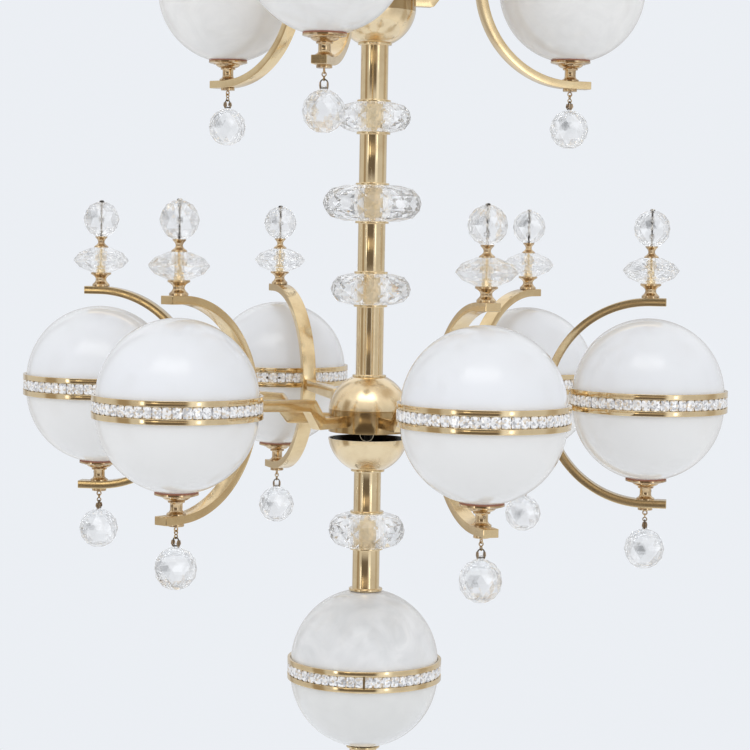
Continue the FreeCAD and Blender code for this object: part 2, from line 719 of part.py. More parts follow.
def stone_row():
    """The row of cut stones in a band, as one ring whose outside rises to a point at each stone. The
    flats of its bore clear the channel's floor by a seat gap."""
    count = round(number("size.stone_count"))
    inside = number(f"{channel_floor} + size.seat_gap") / math.cos(math.pi / count)
    base = number("size.band_radius - size.stone_depth")
    tip = number("size.band_radius - size.seat_gap")
    half = number(f"{channel_half} - size.seat_gap")

    def corner(radius, index, z):
        turn = 2 * math.pi * index / count
        return FreeCAD.Vector(radius * math.cos(turn), radius * math.sin(turn), z)

    def face(*corners):
        return Part.Face(Part.makePolygon(list(corners) + [corners[0]]))

    faces = []
    for index in range(count):
        top_left, top_right = corner(base, index, half), corner(base, index + 1, half)
        low_left, low_right = corner(base, index, -half), corner(base, index + 1, -half)
        point = corner(tip, index + 0.5, 0)
        inner_left, inner_right = corner(inside, index, half), corner(inside, index + 1, half)
        under_left, under_right = corner(inside, index, -half), corner(inside, index + 1, -half)
        faces += [face(top_left, low_left, point), face(low_left, low_right, point),
                  face(low_right, top_right, point), face(top_right, top_left, point),
                  face(inner_left, inner_right, under_right, under_left),
                  face(inner_left, top_left, top_right, inner_right),
                  face(under_left, under_right, low_right, low_left)]
    solid = Part.Solid(Part.makeShell(faces))
    if solid.Volume < 0:
        solid.reverse()
    feature = doc.addObject("Part::Feature", "stone_row")
    feature.Shape = solid
    return feature


on_lights("band_crystals", stone_row(), ARM_LIGHTS + [BOTTOM_LIGHT])

# Set screws: each runs outwards through a neck, and its end has a six-sided socket

def cross_hole(name, radius, length, x, z):
    """A cylinder that lies along X."""
    shape = cylinder(name, radius, length, z, x)
    shape.Placement.Rotation = FreeCAD.Rotation(Y_AXIS, 90)
    return shape


def set_screw(name, inner, neck, z):
    outer = f"({neck} - size.set_screw_inset)"
    barrel = cross_hole(name + "_barrel", "size.set_screw_radius", f"{outer} - {inner}", inner, z)
    socket = doc.addObject("Part::Prism", name + "_socket")
    socket.Polygon = 6
    socket.setExpression("Circumradius", "size.socket_radius")
    socket.setExpression("Height", "2 * size.socket_depth")
    socket.Placement.Rotation = FreeCAD.Rotation(Y_AXIS, 90)
    socket.setExpression("Placement.Base.x", f"{outer} - size.socket_depth")
    socket.setExpression("Placement.Base.z", z)
    return cut(name, barrel, socket)


screw_bore = "(size.set_screw_radius + size.seat_gap)"

# Turned cup that carries a globe: foot, waisted neck, collar, step and dish

gasket_rim = f"(-{half_waist} - sqrt(size.globe_radius ^ 2 - size.gasket_radius ^ 2) - size.seat_gap)"
gasket_bore_top = (f"(-{half_waist} - sqrt(size.globe_radius ^ 2 - size.gasket_bore_radius ^ 2)"
                   " - size.seat_gap)")
gasket_foot = f"({gasket_bore_top} - size.gasket_height)"
dish_seat = f"({gasket_foot} - size.seat_gap)"
step_level = f"({dish_seat} - size.cup_step_height)"
collar_level = f"({step_level} - size.cup_step_height)"
nipple_bore = "(size.nipple_radius + size.seat_gap)"
cup_neck_foot = f"(({foot_top} + {collar_level}) / 2)"
cup_neck_top = f"({collar_level} - size.cup_step_height)"
cup_screw_level = f"(({cup_neck_foot} + {cup_neck_top}) / 2)"
cup_edge_share = 0.6
cup_turning = turned("cup_turning", [
    (nipple_bore, foot_top),
    ("size.cup_foot_radius", foot_top),
    ("size.cup_foot_radius", f"{foot_top} + size.cup_foot_height * {cup_edge_share}"),
    ("size.cup_neck_radius", cup_neck_foot),
    ("size.cup_neck_radius", cup_neck_top),
    ("size.cup_collar_radius", cup_neck_top),
    ("size.cup_collar_radius", collar_level),
    ("size.cup_step_radius", step_level),
    ("size.cup_radius", f"{step_level} + size.cup_step_height / 2"),
    ("size.cup_radius", f"{dish_seat} + size.cup_lip"),
    ("size.gasket_radius + size.seat_gap", f"{dish_seat} + size.cup_lip"),
    ("size.gasket_radius + size.seat_gap", dish_seat),
    (nipple_bore, dish_seat)])
cup_screw_hole = cross_hole("cup_screw_hole", screw_bore, "2 * size.cup_neck_radius", "0",
                            cup_screw_level)
cup = cut("cup", cup_turning, cup_screw_hole)
on_lights("globe_cups", cup, ARM_LIGHTS)
gasket = turned("gasket", [
    ("size.gasket_bore_radius", gasket_foot), ("size.gasket_radius", gasket_foot),
    ("size.gasket_radius", gasket_rim), ("size.gasket_bore_radius", gasket_bore_top)])
on_lights("cup_gaskets", gasket, ARM_LIGHTS)

# Lamp holder on its threaded nipple, and the lamp

holder_foot = (f"(-{half_waist} - sqrt((size.globe_radius - size.globe_wall) ^ 2 - size.clamp_radius ^ 2)"
               " + size.seat_gap)")
holder_seat = f"({holder_foot} + size.clamp_height)"
holder_top = f"({holder_seat} + size.holder_height)"


def lamp_holder(name, nipple_foot):
    """A holder on a disc that presses on the glass, with a threaded nipple down to the given level."""
    return fuse(name, [
        cylinder(name + "_nipple", "size.nipple_radius", f"{holder_seat} - ({nipple_foot}) - size.seat_gap",
                 f"{nipple_foot} + size.seat_gap"),
        cylinder(name + "_disc", "size.clamp_radius", "size.clamp_height", holder_foot),
        cylinder(name + "_body", "size.holder_radius", "size.holder_height", holder_seat)])


bracket_holder = lamp_holder("bracket_holder", f"{foot_top} - size.nipple_depth")
stem_holder = lamp_holder("stem_holder", f"{tail_foot} + size.flange_height - {bottom_globe_centre}")
node("lamp_holders", [placed(bracket_holder, f"lamp_holder_at_{name}", reach, turn, z)
                      for name, reach, turn, z in ARM_LIGHTS]
     + [placed(stem_holder, "lamp_holder_at_bottom", *BOTTOM_LIGHT[1:])])
lamp = fuse("lamp", [
    cylinder("lamp_neck", "size.lamp_neck_radius", "size.lamp_neck_height + size.lamp_radius",
             f"{holder_top} + size.seat_gap"),
    sphere("lamp_bulb", "size.lamp_radius", f"{holder_top} + size.lamp_neck_height + size.lamp_radius")])
on_lights("lamps", lamp, ARM_LIGHTS + [BOTTOM_LIGHT])

# Finial on a bracket: base, rondelle, collar, ball, and the rod and knob that hold them

base_top = f"({bar_top} + size.finial_base_height)"
rondelle_top = f"({base_top} + size.rondelle_height)"
collar_top = f"({rondelle_top} + size.collar_height)"
sleeve_bore = "(size.sleeve_radius + size.seat_gap)"
pin_bore = "(size.finial_pin_radius + size.seat_gap)"
dish_share = 0.8
flare_share = 1.5
dish_height = f"(size.finial_foot_height * {dish_share})"
base_neck_foot = f"({bar_top} + size.finial_foot_height * {flare_share})"
base_neck_top = f"({base_top} - {dish_height} * 2)"
base_screw_level = f"(({base_neck_foot} + {base_neck_top}) / 2)"
base_turning = turned("base_turning", [
    (pin_bore, bar_top),
    ("size.finial_foot_radius", bar_top),
    ("size.finial_foot_radius", f"{bar_top} + size.finial_foot_height"),
    ("size.finial_neck_radius", base_neck_foot),
    ("size.finial_neck_radius", base_neck_top),
    ("size.finial_dish_radius", f"{base_top} - {dish_height}"),
    ("size.finial_dish_radius", base_top),
    (pin_bore, base_top)])
base_screw_hole = cross_hole("base_screw_hole", screw_bore, "2 * size.finial_neck_radius", "0",
                             base_screw_level)
finial_base = cut("finial_base", base_turning, base_screw_hole)
on_lights("finial_bases", finial_base, ARM_LIGHTS)
cup_screw = set_screw("cup_screw", nipple_bore, "size.cup_neck_radius", cup_screw_level)
base_screw = set_screw("base_screw", pin_bore, "size.finial_neck_radius", base_screw_level)
screw_pair = doc.addObject("Part::Compound", "screw_pair")
screw_pair.Links = [cup_screw, base_screw]
on_lights("set_screws", screw_pair, ARM_LIGHTS)

rondelle_shares = [(0.36, 1.0), (0.80, 0.58), (1.0, 0.06), (1.0, -0.06), (0.80, -0.58), (0.36, -1.0)]
rondelle_half = number("size.rondelle_height") / 2
rondelle = faceted("rondelle", [(number("size.rondelle_radius") * wide, rondelle_half * high)
                                for wide, high in rondelle_shares],
                   round(number("size.rondelle_facets")), number(sleeve_bore))
rondelle.setExpression("Placement.Base.z", f"{base_top} + size.rondelle_height / 2")
held_rondelle = doc.addObject("Part::Compound", "held_rondelle")
held_rondelle.Links = [rondelle]
on_lights("finial_rondelles", held_rondelle, ARM_LIGHTS)

finial_collar = turned("finial_collar", [
    (pin_bore, rondelle_top),
    ("size.collar_radius", rondelle_top),
    ("size.collar_radius", f"{rondelle_top} + size.collar_flange_height"),
    ("size.collar_neck_radius", f"{rondelle_top} + size.collar_flange_height * 2"),
    ("size.collar_neck_radius", f"{collar_top} - size.collar_flange_height * 2"),
    ("size.collar_radius", collar_top),
    (pin_bore, collar_top)])
on_lights("finial_collars", finial_collar, ARM_LIGHTS)

ball_shares = [(0.30, 0.95), (0.64, 0.77), (0.90, 0.43), (1.0, 0.0), (0.90, -0.43), (0.64, -0.77),
               (0.30, -0.95)]
ball_facets = round(number("size.ball_facets"))
finial_ball_radius = number("size.finial_ball_radius")
finial_ball = faceted("finial_ball", [(finial_ball_radius * wide, finial_ball_radius * high)
                                      for wide, high in ball_shares], ball_facets, number(pin_bore))
ball_level = f"({collar_top} + size.finial_ball_radius * {ball_shares[0][1]} + size.seat_gap)"
finial_ball.setExpression("Placement.Base.z", ball_level)
held_ball = doc.addObject("Part::Compound", "held_finial_ball")
held_ball.Links = [finial_ball]
on_lights("finial_balls", held_ball, ARM_LIGHTS)

knob_foot = f"({ball_level} + size.finial_ball_radius * {ball_shares[0][1]} + size.seat_gap)"
finial_rod = fuse("finial_rod", [
    cylinder("finial_pin", "size.finial_pin_radius", f"{knob_foot} - {bar_top} + size.bracket_thickness",
             f"{bar_top} - size.bracket_thickness"),
    cylinder("finial_sleeve", "size.sleeve_radius", "size.sleeve_height", f"{base_top} + size.seat_gap"),
    cylinder("finial_knob", "size.finial_knob_radius", "size.finial_knob_height", knob_foot)])
on_lights("finial_rods", finial_rod, ARM_LIGHTS)

# Eye screwed into each bracket's foot, and the drop's two hinges

eye_collar_foot = f"({foot_bottom} - size.eye_collar_height)"
eye_level = f"({eye_collar_foot} - size.eye_radius - size.eye_wire_radius)"
hanger_hinge = f"({eye_level} - size.eye_radius)"
eye_screw = fuse("eye_screw", [
    cylinder("eye_thread", "size.eye_screw_radius", "size.eye_screw_length", foot_bottom),
    cylinder("eye_collar", "size.eye_collar_radius", "size.eye_collar_height", eye_collar_foot),
    cylinder("eye_shank", "1.5 * size.eye_wire_radius", "size.eye_wire_radius + size.eye_collar_height / 2",
             f"{eye_collar_foot} - size.eye_wire_radius"),
    wire_ring("eye", "size.eye_radius", "size.eye_wire_radius", eye_level, X_AXIS)])
tail_light = ("tail", "0", "0", f"({tail_foot} - {foot_bottom} - size.seat_gap)")
DROP_LIGHTS = ARM_LIGHTS + [tail_light]
on_lights("eye_screws", eye_screw, DROP_LIGHTS)

link_play = "(size.link_radius - size.link_wire_radius - size.eye_wire_radius - size.pin_gap)"
upper_loop = f"({hanger_hinge} - {link_play})"
lower_loop = f"({upper_loop} - 2 * size.link_radius)"
clip_crown = (f"({lower_loop} - size.link_radius + size.link_wire_radius + size.clip_wire_radius"
              " + size.pin_gap)")
clip_bend = f"({clip_crown} - size.clip_radius)"
drop_hinge = f"({clip_bend} - size.clip_leg)"
twisted_link = fuse("twisted_link", [
    wire_ring("upper_link_loop", "size.link_radius", "size.link_wire_radius", upper_loop, Y_AXIS),
    wire_ring("lower_link_loop", "size.link_radius", "size.link_wire_radius", lower_loop, X_AXIS)])
clip_arch = wire_ring("clip_arch", "size.clip_radius", "size.clip_wire_radius", clip_bend, X_AXIS, 180)
clip_arch.Placement.Rotation = FreeCAD.Rotation(Z_AXIS, 90).multiply(FreeCAD.Rotation(X_AXIS, 90))
clip_parts = [clip_arch]
for side in (-1, 1):
    leg = cylinder(f"clip_leg_{side + 2}", "size.clip_wire_radius", "size.clip_leg", drop_hinge)
    leaf = bar(f"clip_leaf_{side + 2}", [
        ("0", f"{drop_hinge} - size.leaf_tip"),
        ("size.leaf_width / 2", f"{drop_hinge} + size.leaf_shoulder"),
        ("size.leaf_width / 4", f"{drop_hinge} + size.leaf_height"),
        ("-size.leaf_width / 4", f"{drop_hinge} + size.leaf_height"),
        ("-size.leaf_width / 2", f"{drop_hinge} + size.leaf_shoulder")], "size.leaf_thickness")
    for piece in (leg, leaf):
        piece.setExpression("Placement.Base.y", f"{side} * size.clip_radius")
        clip_parts.append(piece)
clip_pin = cylinder("clip_pin", "size.clip_wire_radius", "2 * size.clip_radius", drop_hinge)
clip_pin.Placement.Rotation = FreeCAD.Rotation(X_AXIS, -90)
clip_pin.setExpression("Placement.Base.y", "-size.clip_radius")
clip_parts.append(clip_pin)
hanger = doc.addObject("Part::Compound", "hanger")
hanger.Links = [twisted_link, fuse("clip", clip_parts)]

drop_radius = number("size.drop_ball_radius")
drop_body = faceted("drop_body", [(drop_radius * wide, drop_radius * high) for wide, high in ball_shares],
                    ball_facets)
drop_level = f"({drop_hinge} - size.drop_ball_radius - size.drop_pin_lift)"
drop_body.setExpression("Placement.Base.z", drop_level)
drop_neck = cylinder("drop_neck", "size.drop_neck_radius",
                     "size.drop_neck_top + size.drop_pin_lift + size.drop_ball_radius / 4",
                     f"{drop_hinge} - size.drop_pin_lift - size.drop_ball_radius / 4")
drop_hole = cylinder("drop_hole", "size.clip_wire_radius + size.pin_gap", "4 * size.drop_neck_radius",
                     drop_hinge)
drop_hole.Placement.Rotation = FreeCAD.Rotation(X_AXIS, -90)
drop_hole.setExpression("Placement.Base.y", "-2 * size.drop_neck_radius")
drop_ball = cut("drop_ball", fuse("drop_blank", [drop_body, drop_neck]), drop_hole)

for index, (name, reach, turn, z) in enumerate(DROP_LIGHTS, start=1):
    node(f"drop_hanger_{index}", [placed(hanger, f"{name}_hanger_place", reach, turn, z)])
    node(f"drop_ball_{index}", [placed(drop_ball, f"{name}_ball_place", reach, turn, z)])

doc.recompute()

faults = []
for item in doc.Objects:
    if "Invalid" in item.State or "Error" in item.State:
        faults.append(f"{item.Name}: {item.State}")
for item in NODES:
    if item.Shape.isNull() or not item.Shape.isValid() or not item.Shape.Solids:
        faults.append(f"{item.Label}: shape not valid")
if faults:
    raise RuntimeError("\n".join(faults))

os.makedirs("parts", exist_ok=True)
for item in NODES:
    item.Shape.exportStep(f"parts/{item.Label}.step")

print(f"{len(NODES)} nodes")
for label, expression in (("lower light", lower_light), ("upper light", upper_light),
                          ("bottom globe", bottom_globe_centre), ("tail drop", tail_light[3]),
                          ("lower seam", lower_seam), ("hanger hinge", hanger_hinge),
                          ("drop hinge", drop_hinge), ("bar top", bar_top), ("foot top", foot_top)):
    print(f"{label}: {number(expression):.4f}")
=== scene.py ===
import json
import math
import bpy
import bmesh
import numpy as np
from mathutils import Matrix, Vector


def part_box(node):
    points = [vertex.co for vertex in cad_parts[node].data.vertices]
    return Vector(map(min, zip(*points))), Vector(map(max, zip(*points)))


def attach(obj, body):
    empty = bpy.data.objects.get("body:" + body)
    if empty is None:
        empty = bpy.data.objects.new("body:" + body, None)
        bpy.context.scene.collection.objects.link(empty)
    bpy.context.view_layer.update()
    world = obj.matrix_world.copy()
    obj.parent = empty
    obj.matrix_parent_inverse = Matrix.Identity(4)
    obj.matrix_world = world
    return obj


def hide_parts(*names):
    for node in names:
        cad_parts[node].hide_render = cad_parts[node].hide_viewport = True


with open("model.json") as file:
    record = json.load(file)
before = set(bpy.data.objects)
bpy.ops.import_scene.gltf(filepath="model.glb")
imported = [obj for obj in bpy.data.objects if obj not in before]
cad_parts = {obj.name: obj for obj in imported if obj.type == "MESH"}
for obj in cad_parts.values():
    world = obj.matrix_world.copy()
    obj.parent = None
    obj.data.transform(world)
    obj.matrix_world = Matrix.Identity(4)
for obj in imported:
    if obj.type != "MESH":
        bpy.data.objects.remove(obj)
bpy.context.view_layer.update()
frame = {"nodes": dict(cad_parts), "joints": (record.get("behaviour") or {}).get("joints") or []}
nodes = frame["nodes"]

scene = bpy.context.scene
dressed = set()


# Shapes. A shape is (points, faces): an array of points and a list of arrays of corner numbers

def gridFaces(rows, cols, wrapRows=False, wrapCols=False):
    # one quad between each pair of neighbouring rows and columns, round the end where a way is closed
    r, c = np.meshgrid(np.arange(rows if wrapRows else rows - 1),
                       np.arange(cols if wrapCols else cols - 1), indexing="ij")
    nextR, nextC = (r + 1) % rows, (c + 1) % cols
    return np.stack([r * cols + c, r * cols + nextC, nextR * cols + nextC, nextR * cols + c], -1).reshape(-1, 4)


def endFaces(count, last):
    # one face over the first ring of corners, and one over the last ring the other way round
    return [np.arange(count)[None, :], np.arange(last, last + count)[None, ::-1]]


def roundTurns(count):
    # the turns of evenly spaced places round a circle
    return np.arange(count) * 2 * math.pi / count


def turned(profile, segments=96, closed=True):
    # each profile point (r, z) is carried round the upright axis: x = r cos a, y = r sin a
    profile = np.asarray(profile, float)
    a = roundTurns(segments)
    x = profile[:, :1] * np.cos(a)
    y = profile[:, :1] * np.sin(a)
    z = np.repeat(profile[:, 1:], segments, 1)
    return np.stack([x, y, z], -1).reshape(-1, 3), [gridFaces(len(profile), segments, closed, True)]


def rod(radius, low, high, segments):
    # a short round bar that stands upright, with flat ends
    return turned([(0, low), (radius, low), (radius, high), (0, high)], segments, closed=False)


def lengths(rows):
    # never quite zero, so that a row can be divided by its length
    return np.maximum(np.linalg.norm(rows, axis=1), 1e-9)


def eased(corners, radius, steps=4, closed=True, most=0.48):
    # every corner becomes a short curve: a parabola that leaves one side and joins the next,
    # starting one radius before the corner, or at most this share of a short side
    corners = np.asarray(corners, float)
    before = np.roll(corners, 1, 0) - corners
    after = np.roll(corners, -1, 0) - corners
    longBefore, longAfter = lengths(before), lengths(after)
    start = corners + before * (np.minimum(radius, longBefore * most) / longBefore)[:, None]
    end = corners + after * (np.minimum(radius, longAfter * most) / longAfter)[:, None]
    t = np.linspace(0, 1, steps)[None, :, None]
    curve = (1 - t) ** 2 * start[:, None] + 2 * t * (1 - t) * corners[:, None] + t ** 2 * end[:, None]
    if not closed:
        curve[0], curve[-1] = corners[0], corners[-1]
    return curve.reshape(-1, 2)


def bowed(start, end, bow, steps=14):
    # a line from start to end that bows sideways as a parabola, by bow at its middle
    start, end = np.asarray(start, float), np.asarray(end, float)
    t = np.linspace(0, 1, steps)[:, None]
    along = end - start
    side = np.array([-along[1], along[0]]) / np.linalg.norm(along)
    return start + along * t + side * bow * 4 * t * (1 - t)


def arcPoints(centre, radius, first, last, steps):
    # points of a circle about a centre, from one angle to another, in degrees
    a = np.radians(np.linspace(first, last, steps))
    return np.stack([centre[0] + radius * np.cos(a), centre[1] + radius * np.sin(a)], -1)


def joined(shapes):
    points, faces, start = [], [], 0
    for part, groups in shapes:
        points.append(part)
        faces += [group + start for group in groups]
        start += len(part)
    return np.concatenate(points), faces


def moved(shape, place=(0, 0, 0), turn=0.0):
    # turned about the upright axis, then carried to its place
    points, faces = shape
    c, s = math.cos(turn), math.sin(turn)
    x = points[:, 0] * c - points[:, 1] * s
    y = points[:, 0] * s + points[:, 1] * c
    return np.stack([x, y, points[:, 2]], -1) + np.asarray(place, float), faces


def scattered(shape, lights):
    return joined([moved(shape, light["place"], light["turn"]) for light in lights])


def wire(path, radius, sides=10, closed=False):
    # a round section carried along a path of points; each ring stands square to the path there,
    # and its first direction lies in the path's own plane
    path = np.asarray(path, float)
    ahead = np.roll(path, -1, 0) - np.roll(path, 1, 0)
    if not closed:
        ahead[0], ahead[-1] = path[1] - path[0], path[-1] - path[-2]
    ahead /= lengths(ahead)[:, None]
    flat = np.linalg.svd(path - path.mean(0))[2][2]
    across = np.cross(ahead, flat)
    across /= lengths(across)[:, None]
    third = np.cross(ahead, across)
    a = roundTurns(sides)
    ring = across[:, None] * np.cos(a)[:, None] + third[:, None] * np.sin(a)[:, None]
    points = path[:, None] + radius * ring
    faces = [gridFaces(len(path), sides, closed, True)[:, ::-1]]
    if not closed:
        faces += endFaces(sides, (len(path) - 1) * sides)
    return points.reshape(-1, 3), faces


def bowPath(radius, bend, ends, first, steps=17):
    # a half circle across Y, from its first turn in degrees, with a straight leg from each end
    a = np.radians(np.linspace(first, first + 180, steps))
    bow = np.stack([np.zeros(steps), radius * np.cos(a), bend + radius * np.sin(a)], -1)
    return np.vstack([(0, bow[0][1], ends), bow, (0, bow[-1][1], ends)])


def barBetween(low, high, width, edge, steps=4):
    # a bar between a lower and an upper rail in the XZ plane; its section is a rectangle with
    # eased corners, and a smaller end ring closes it a little beyond a pulled back full one
    low, high = np.asarray(low, float), np.asarray(high, float)
    rise = lengths(high - low).mean()
    half = width / 2
    corners = eased([(-half, 0), (half, 0), (half, rise), (-half, rise)], edge, steps)
    y, share = corners[:, 0], corners[:, 1] / rise
    pull = 1 - 2 * edge / width

    def withEnds(rail, other):
        # each end ring shrinks towards the middle of the end; the full ring next to it moves inwards
        middles = (rail[[0, -1]] + other[[0, -1]]) / 2
        firstWay = (low[0] - low[1]) / np.linalg.norm(low[0] - low[1])
        lastWay = (low[-1] - low[-2]) / np.linalg.norm(low[-1] - low[-2])
        small = (rail[[0, -1]] - middles) * pull + middles
        return np.vstack([small[0], rail[0] - firstWay * edge, rail[1:-1], rail[-1] - lastWay * edge, small[1]])

    lowRows, highRows = withEnds(low, high), withEnds(high, low)
    widths = np.ones(len(lowRows))
    widths[0] = widths[-1] = pull
    flat = lowRows[:, None] * (1 - share)[None, :, None] + highRows[:, None] * share[None, :, None]
    points = np.stack([flat[..., 0], y[None, :] * widths[:, None], flat[..., 1]], -1)
    rows, cols = points.shape[:2]
    faces = [gridFaces(rows, cols, False, True)[:, ::-1], *endFaces(cols, (rows - 1) * cols)]
    return points.reshape(-1, 3), faces


def plate(outline, thick, edge):
    # an XZ outline, its corners given anticlockwise as seen from -Y, carried across Y; both faces
    # are drawn in by the edge: point = middle + (outline - middle) * share
    outline = np.asarray(outline, float)
    middle = outline.mean(0)
    pull = 1 - edge / lengths(outline - middle).mean()
    shares = np.array([pull, 1, 1, pull])[:, None, None]
    levels = np.array([-thick / 2, edge - thick / 2, thick / 2 - edge, thick / 2])
    flat = middle + (outline - middle)[None] * shares
    points = np.stack([flat[..., 0], np.repeat(levels[:, None], len(outline), 1), flat[..., 1]], -1)
    count = len(outline)
    return points.reshape(-1, 3), [gridFaces(4, count, False, True)[:, ::-1], *endFaces(count, 3 * count)]


def outwards(shape):
    # a shape turned about +Z lies down along +X
    points, faces = shape
    return np.stack([points[:, 2], points[:, 1], -points[:, 0]], -1), faces


def faceted(rings, facets):
    # rings of corners (r, z) from the top down, each turned half a facet from the last one;
    # triangles join neighbouring rings, and the first and last ring are flat tables
    rings = np.asarray(rings, float)
    level = np.arange(len(rings))
    a = (np.arange(facets)[None, :] + (level % 2)[:, None] / 2) * 2 * math.pi / facets
    points = np.stack([rings[:, :1] * np.cos(a), rings[:, :1] * np.sin(a),
                       np.repeat(rings[:, 1:], facets, 1)], -1).reshape(-1, 3)
    k, j = np.meshgrid(level[:-1], np.arange(facets), indexing="ij")
    upper, lower = k * facets, (k + 1) * facets
    after = (j + 1) % facets
    even = (k % 2) == 0
    first = np.where(even[..., None], np.stack([upper + j, lower + j, upper + after], -1),
                     np.stack([upper + j, lower + j, lower + after], -1))
    second = np.where(even[..., None], np.stack([upper + after, lower + j, lower + after], -1),
                      np.stack([upper + j, lower + after, upper + after], -1))
    triangles = np.concatenate([first.reshape(-1, 3), second.reshape(-1, 3)])
    return points, [triangles, *endFaces(facets, (len(rings) - 1) * facets)]


def boredStone(shares, radius, height, middle, facets, bore):
    # a faceted stone whose bore is an upright wall between the two tables; a fan of facets joins
    # the corners of each table to the bore's
    shape = faceted(np.asarray(shares) * (radius, height / 2) + (0, middle), facets)
    rows = len(shares)
    a = roundTurns(facets)
    shift = ((rows - 1) % 2) * math.pi / facets
    rims = [np.stack([bore * np.cos(a + turn), bore * np.sin(a + turn), np.full(facets, level)], -1)
            for level, turn in ((middle + height / 2, 0), (middle - height / 2, shift))]
    start, low = len(shape[0]), (rows - 1) * facets
    j = np.arange(facets)
    k = (j + 1) % facets
    upperTable = np.stack([j, k, start + k, start + j], -1)
    lowerTable = np.stack([low + k, low + j, start + facets + j, start + facets + k], -1)
    wall = np.stack([start + j, start + k, start + facets + k, start + facets + j], -1)
    return np.concatenate([shape[0], *rims]), [shape[1][0], upperTable, lowerTable, wall]


def meshOf(name, shape, material):
    points, faces = shape
    mesh = bpy.data.meshes.new(name)
    mesh.from_pydata(points.tolist(), [], [face for group in faces for face in group.tolist()])
    mesh.materials.append(material)
    return mesh


def added(name, data):
    made = bpy.data.objects.new(name, data)
    scene.collection.objects.link(made)
    return made


def piece(name, shape, material, replaces=(), body="frame", sharp=35):
    # the shape as a finished object at the origin, merged and riding on its body; cut glass keeps
    # its flat facets
    smooth = material not in (cutCrystal, ringCrystal, bandStone)
    mesh = meshOf(name, shape, material)
    work = bmesh.new()
    work.from_mesh(mesh)
    bmesh.ops.remove_doubles(work, verts=work.verts, dist=1e-7)
    work.to_mesh(mesh)
    work.free()
    mesh.polygons.foreach_set("use_smooth", np.full(len(mesh.polygons), smooth))
    if smooth:
        mesh.set_sharp_from_angle(angle=math.radians(sharp))
    mesh.update()
    made = added(name, mesh)
    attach(made, body)
    if replaces:
        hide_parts(*replaces)
        dressed.update(replaces)
    return made


def meshPoints(made):
    points = np.zeros(len(made.data.vertices) * 3, np.float32)
    made.data.vertices.foreach_get("co", points)
    return points.reshape(-1, 3)


def addPaintedShade(made, centre, outer):
    # marks the points inside a shell, whose outer surface is a sphere about a centre on the axis; there the
    # brass gets a painted shade, near black, for the hollow of the hub bowl
    away = lengths(meshPoints(made) - (0, 0, centre))
    attribute = made.data.attributes.new("lining", "FLOAT", "POINT")
    attribute.data.foreach_set("value", (away < outer - hub["wall"] * hub["liningShare"]).astype(np.float32))


def addUpright(made, lights, radius):
    # keeps each point's place from its own globe's centre, as a share of the radius, for the glass and its
    # painted shade below the band
    points = meshPoints(made)
    centres = np.array([light["place"] for light in lights])
    nearest = np.linalg.norm(points[:, None] - centres[None], axis=2).argmin(1)
    local = (points - centres[nearest]) / radius
    attribute = made.data.attributes.new("globePlace", "FLOAT_VECTOR", "POINT")
    attribute.data.foreach_set("vector", local.astype(np.float32).ravel())


# Shader parts that several materials share

def nodeGroup(name, inputs, outputs):
    group = bpy.data.node_groups.new(name, "ShaderNodeTree")
    for label, value in inputs.items():
        socket = group.interface.new_socket(label, in_out="INPUT", socket_type="NodeSocketFloat")
        socket.default_value = value
    for label in outputs:
        group.interface.new_socket(label, in_out="OUTPUT", socket_type="NodeSocketFloat")
    return group, group.nodes.new("NodeGroupInput"), group.nodes.new("NodeGroupOutput")


def feed(tree, node, values):
    # gives inputs, by name or number, their values: a socket is linked, anything else is set
    for key, value in values.items():
        if isinstance(value, bpy.types.NodeSocket):
            tree.links.new(value, node.inputs[key])
        else:
            node.inputs[key].default_value = value


def addNode(tree, kind, settings=None, **values):
    node = tree.nodes.new("ShaderNode" + kind)
    for key, value in (settings or {}).items():
        setattr(node, key, value)
    feed(tree, node, values)
    return node


def mathNode(tree, operation, *values, clamp=False):
    node = addNode(tree, "Math", {"operation": operation, "use_clamp": clamp})
    feed(tree, node, dict(enumerate(values)))
    return node.outputs[0]


def objectPlace(tree):
    return addNode(tree, "TexCoord").outputs["Object"]


def mixColours(tree, factor, first, second, blend="MIX"):
    # inputs 6 and 7 and output 2 are this node's colours
    node = addNode(tree, "Mix", {"data_type": "RGBA", "blend_type": blend})
    feed(tree, node, {0: factor, 6: first, 7: second})
    return node.outputs[2]


def ramp(tree, value, stops):
    node = addNode(tree, "ValToRGB")
    feed(tree, node, {0: value})
    while len(node.color_ramp.elements) < len(stops):
        node.color_ramp.elements.new(0.5)
    for element, (place, grey) in zip(node.color_ramp.elements, stops):
        element.position = place
        element.color = (grey, grey, grey, 1)
    return node.outputs[0]


marksLook = {"smudges": {"Scale": 38.0, "Detail": 4.0, "Roughness": 0.6},
             "scratches": {"Scale": 2600.0, "Detail": 1.0},
             "stretch": {"Scale": (1, 1, 0.04), "Rotation": (0.5, 0.3, 0.2)},
             "smudgeStops": ((0.42, 0.0), (0.72, 1.0)), "scratchStops": ((0.60, 0.0), (0.78, 1.0))}
cloudLook = {"given": {"Scale": 9.0, "Bend": 0.6}, "bend": {"Scale": 7.0, "Detail": 2.0},
             "cloud": {"Detail": 3.0, "Roughness": 0.55}}
paintedSparkleLook = {"given": {"Scale": 400.0}, "warmStops": ((0.80, 0.0), (0.86, 1.0))}


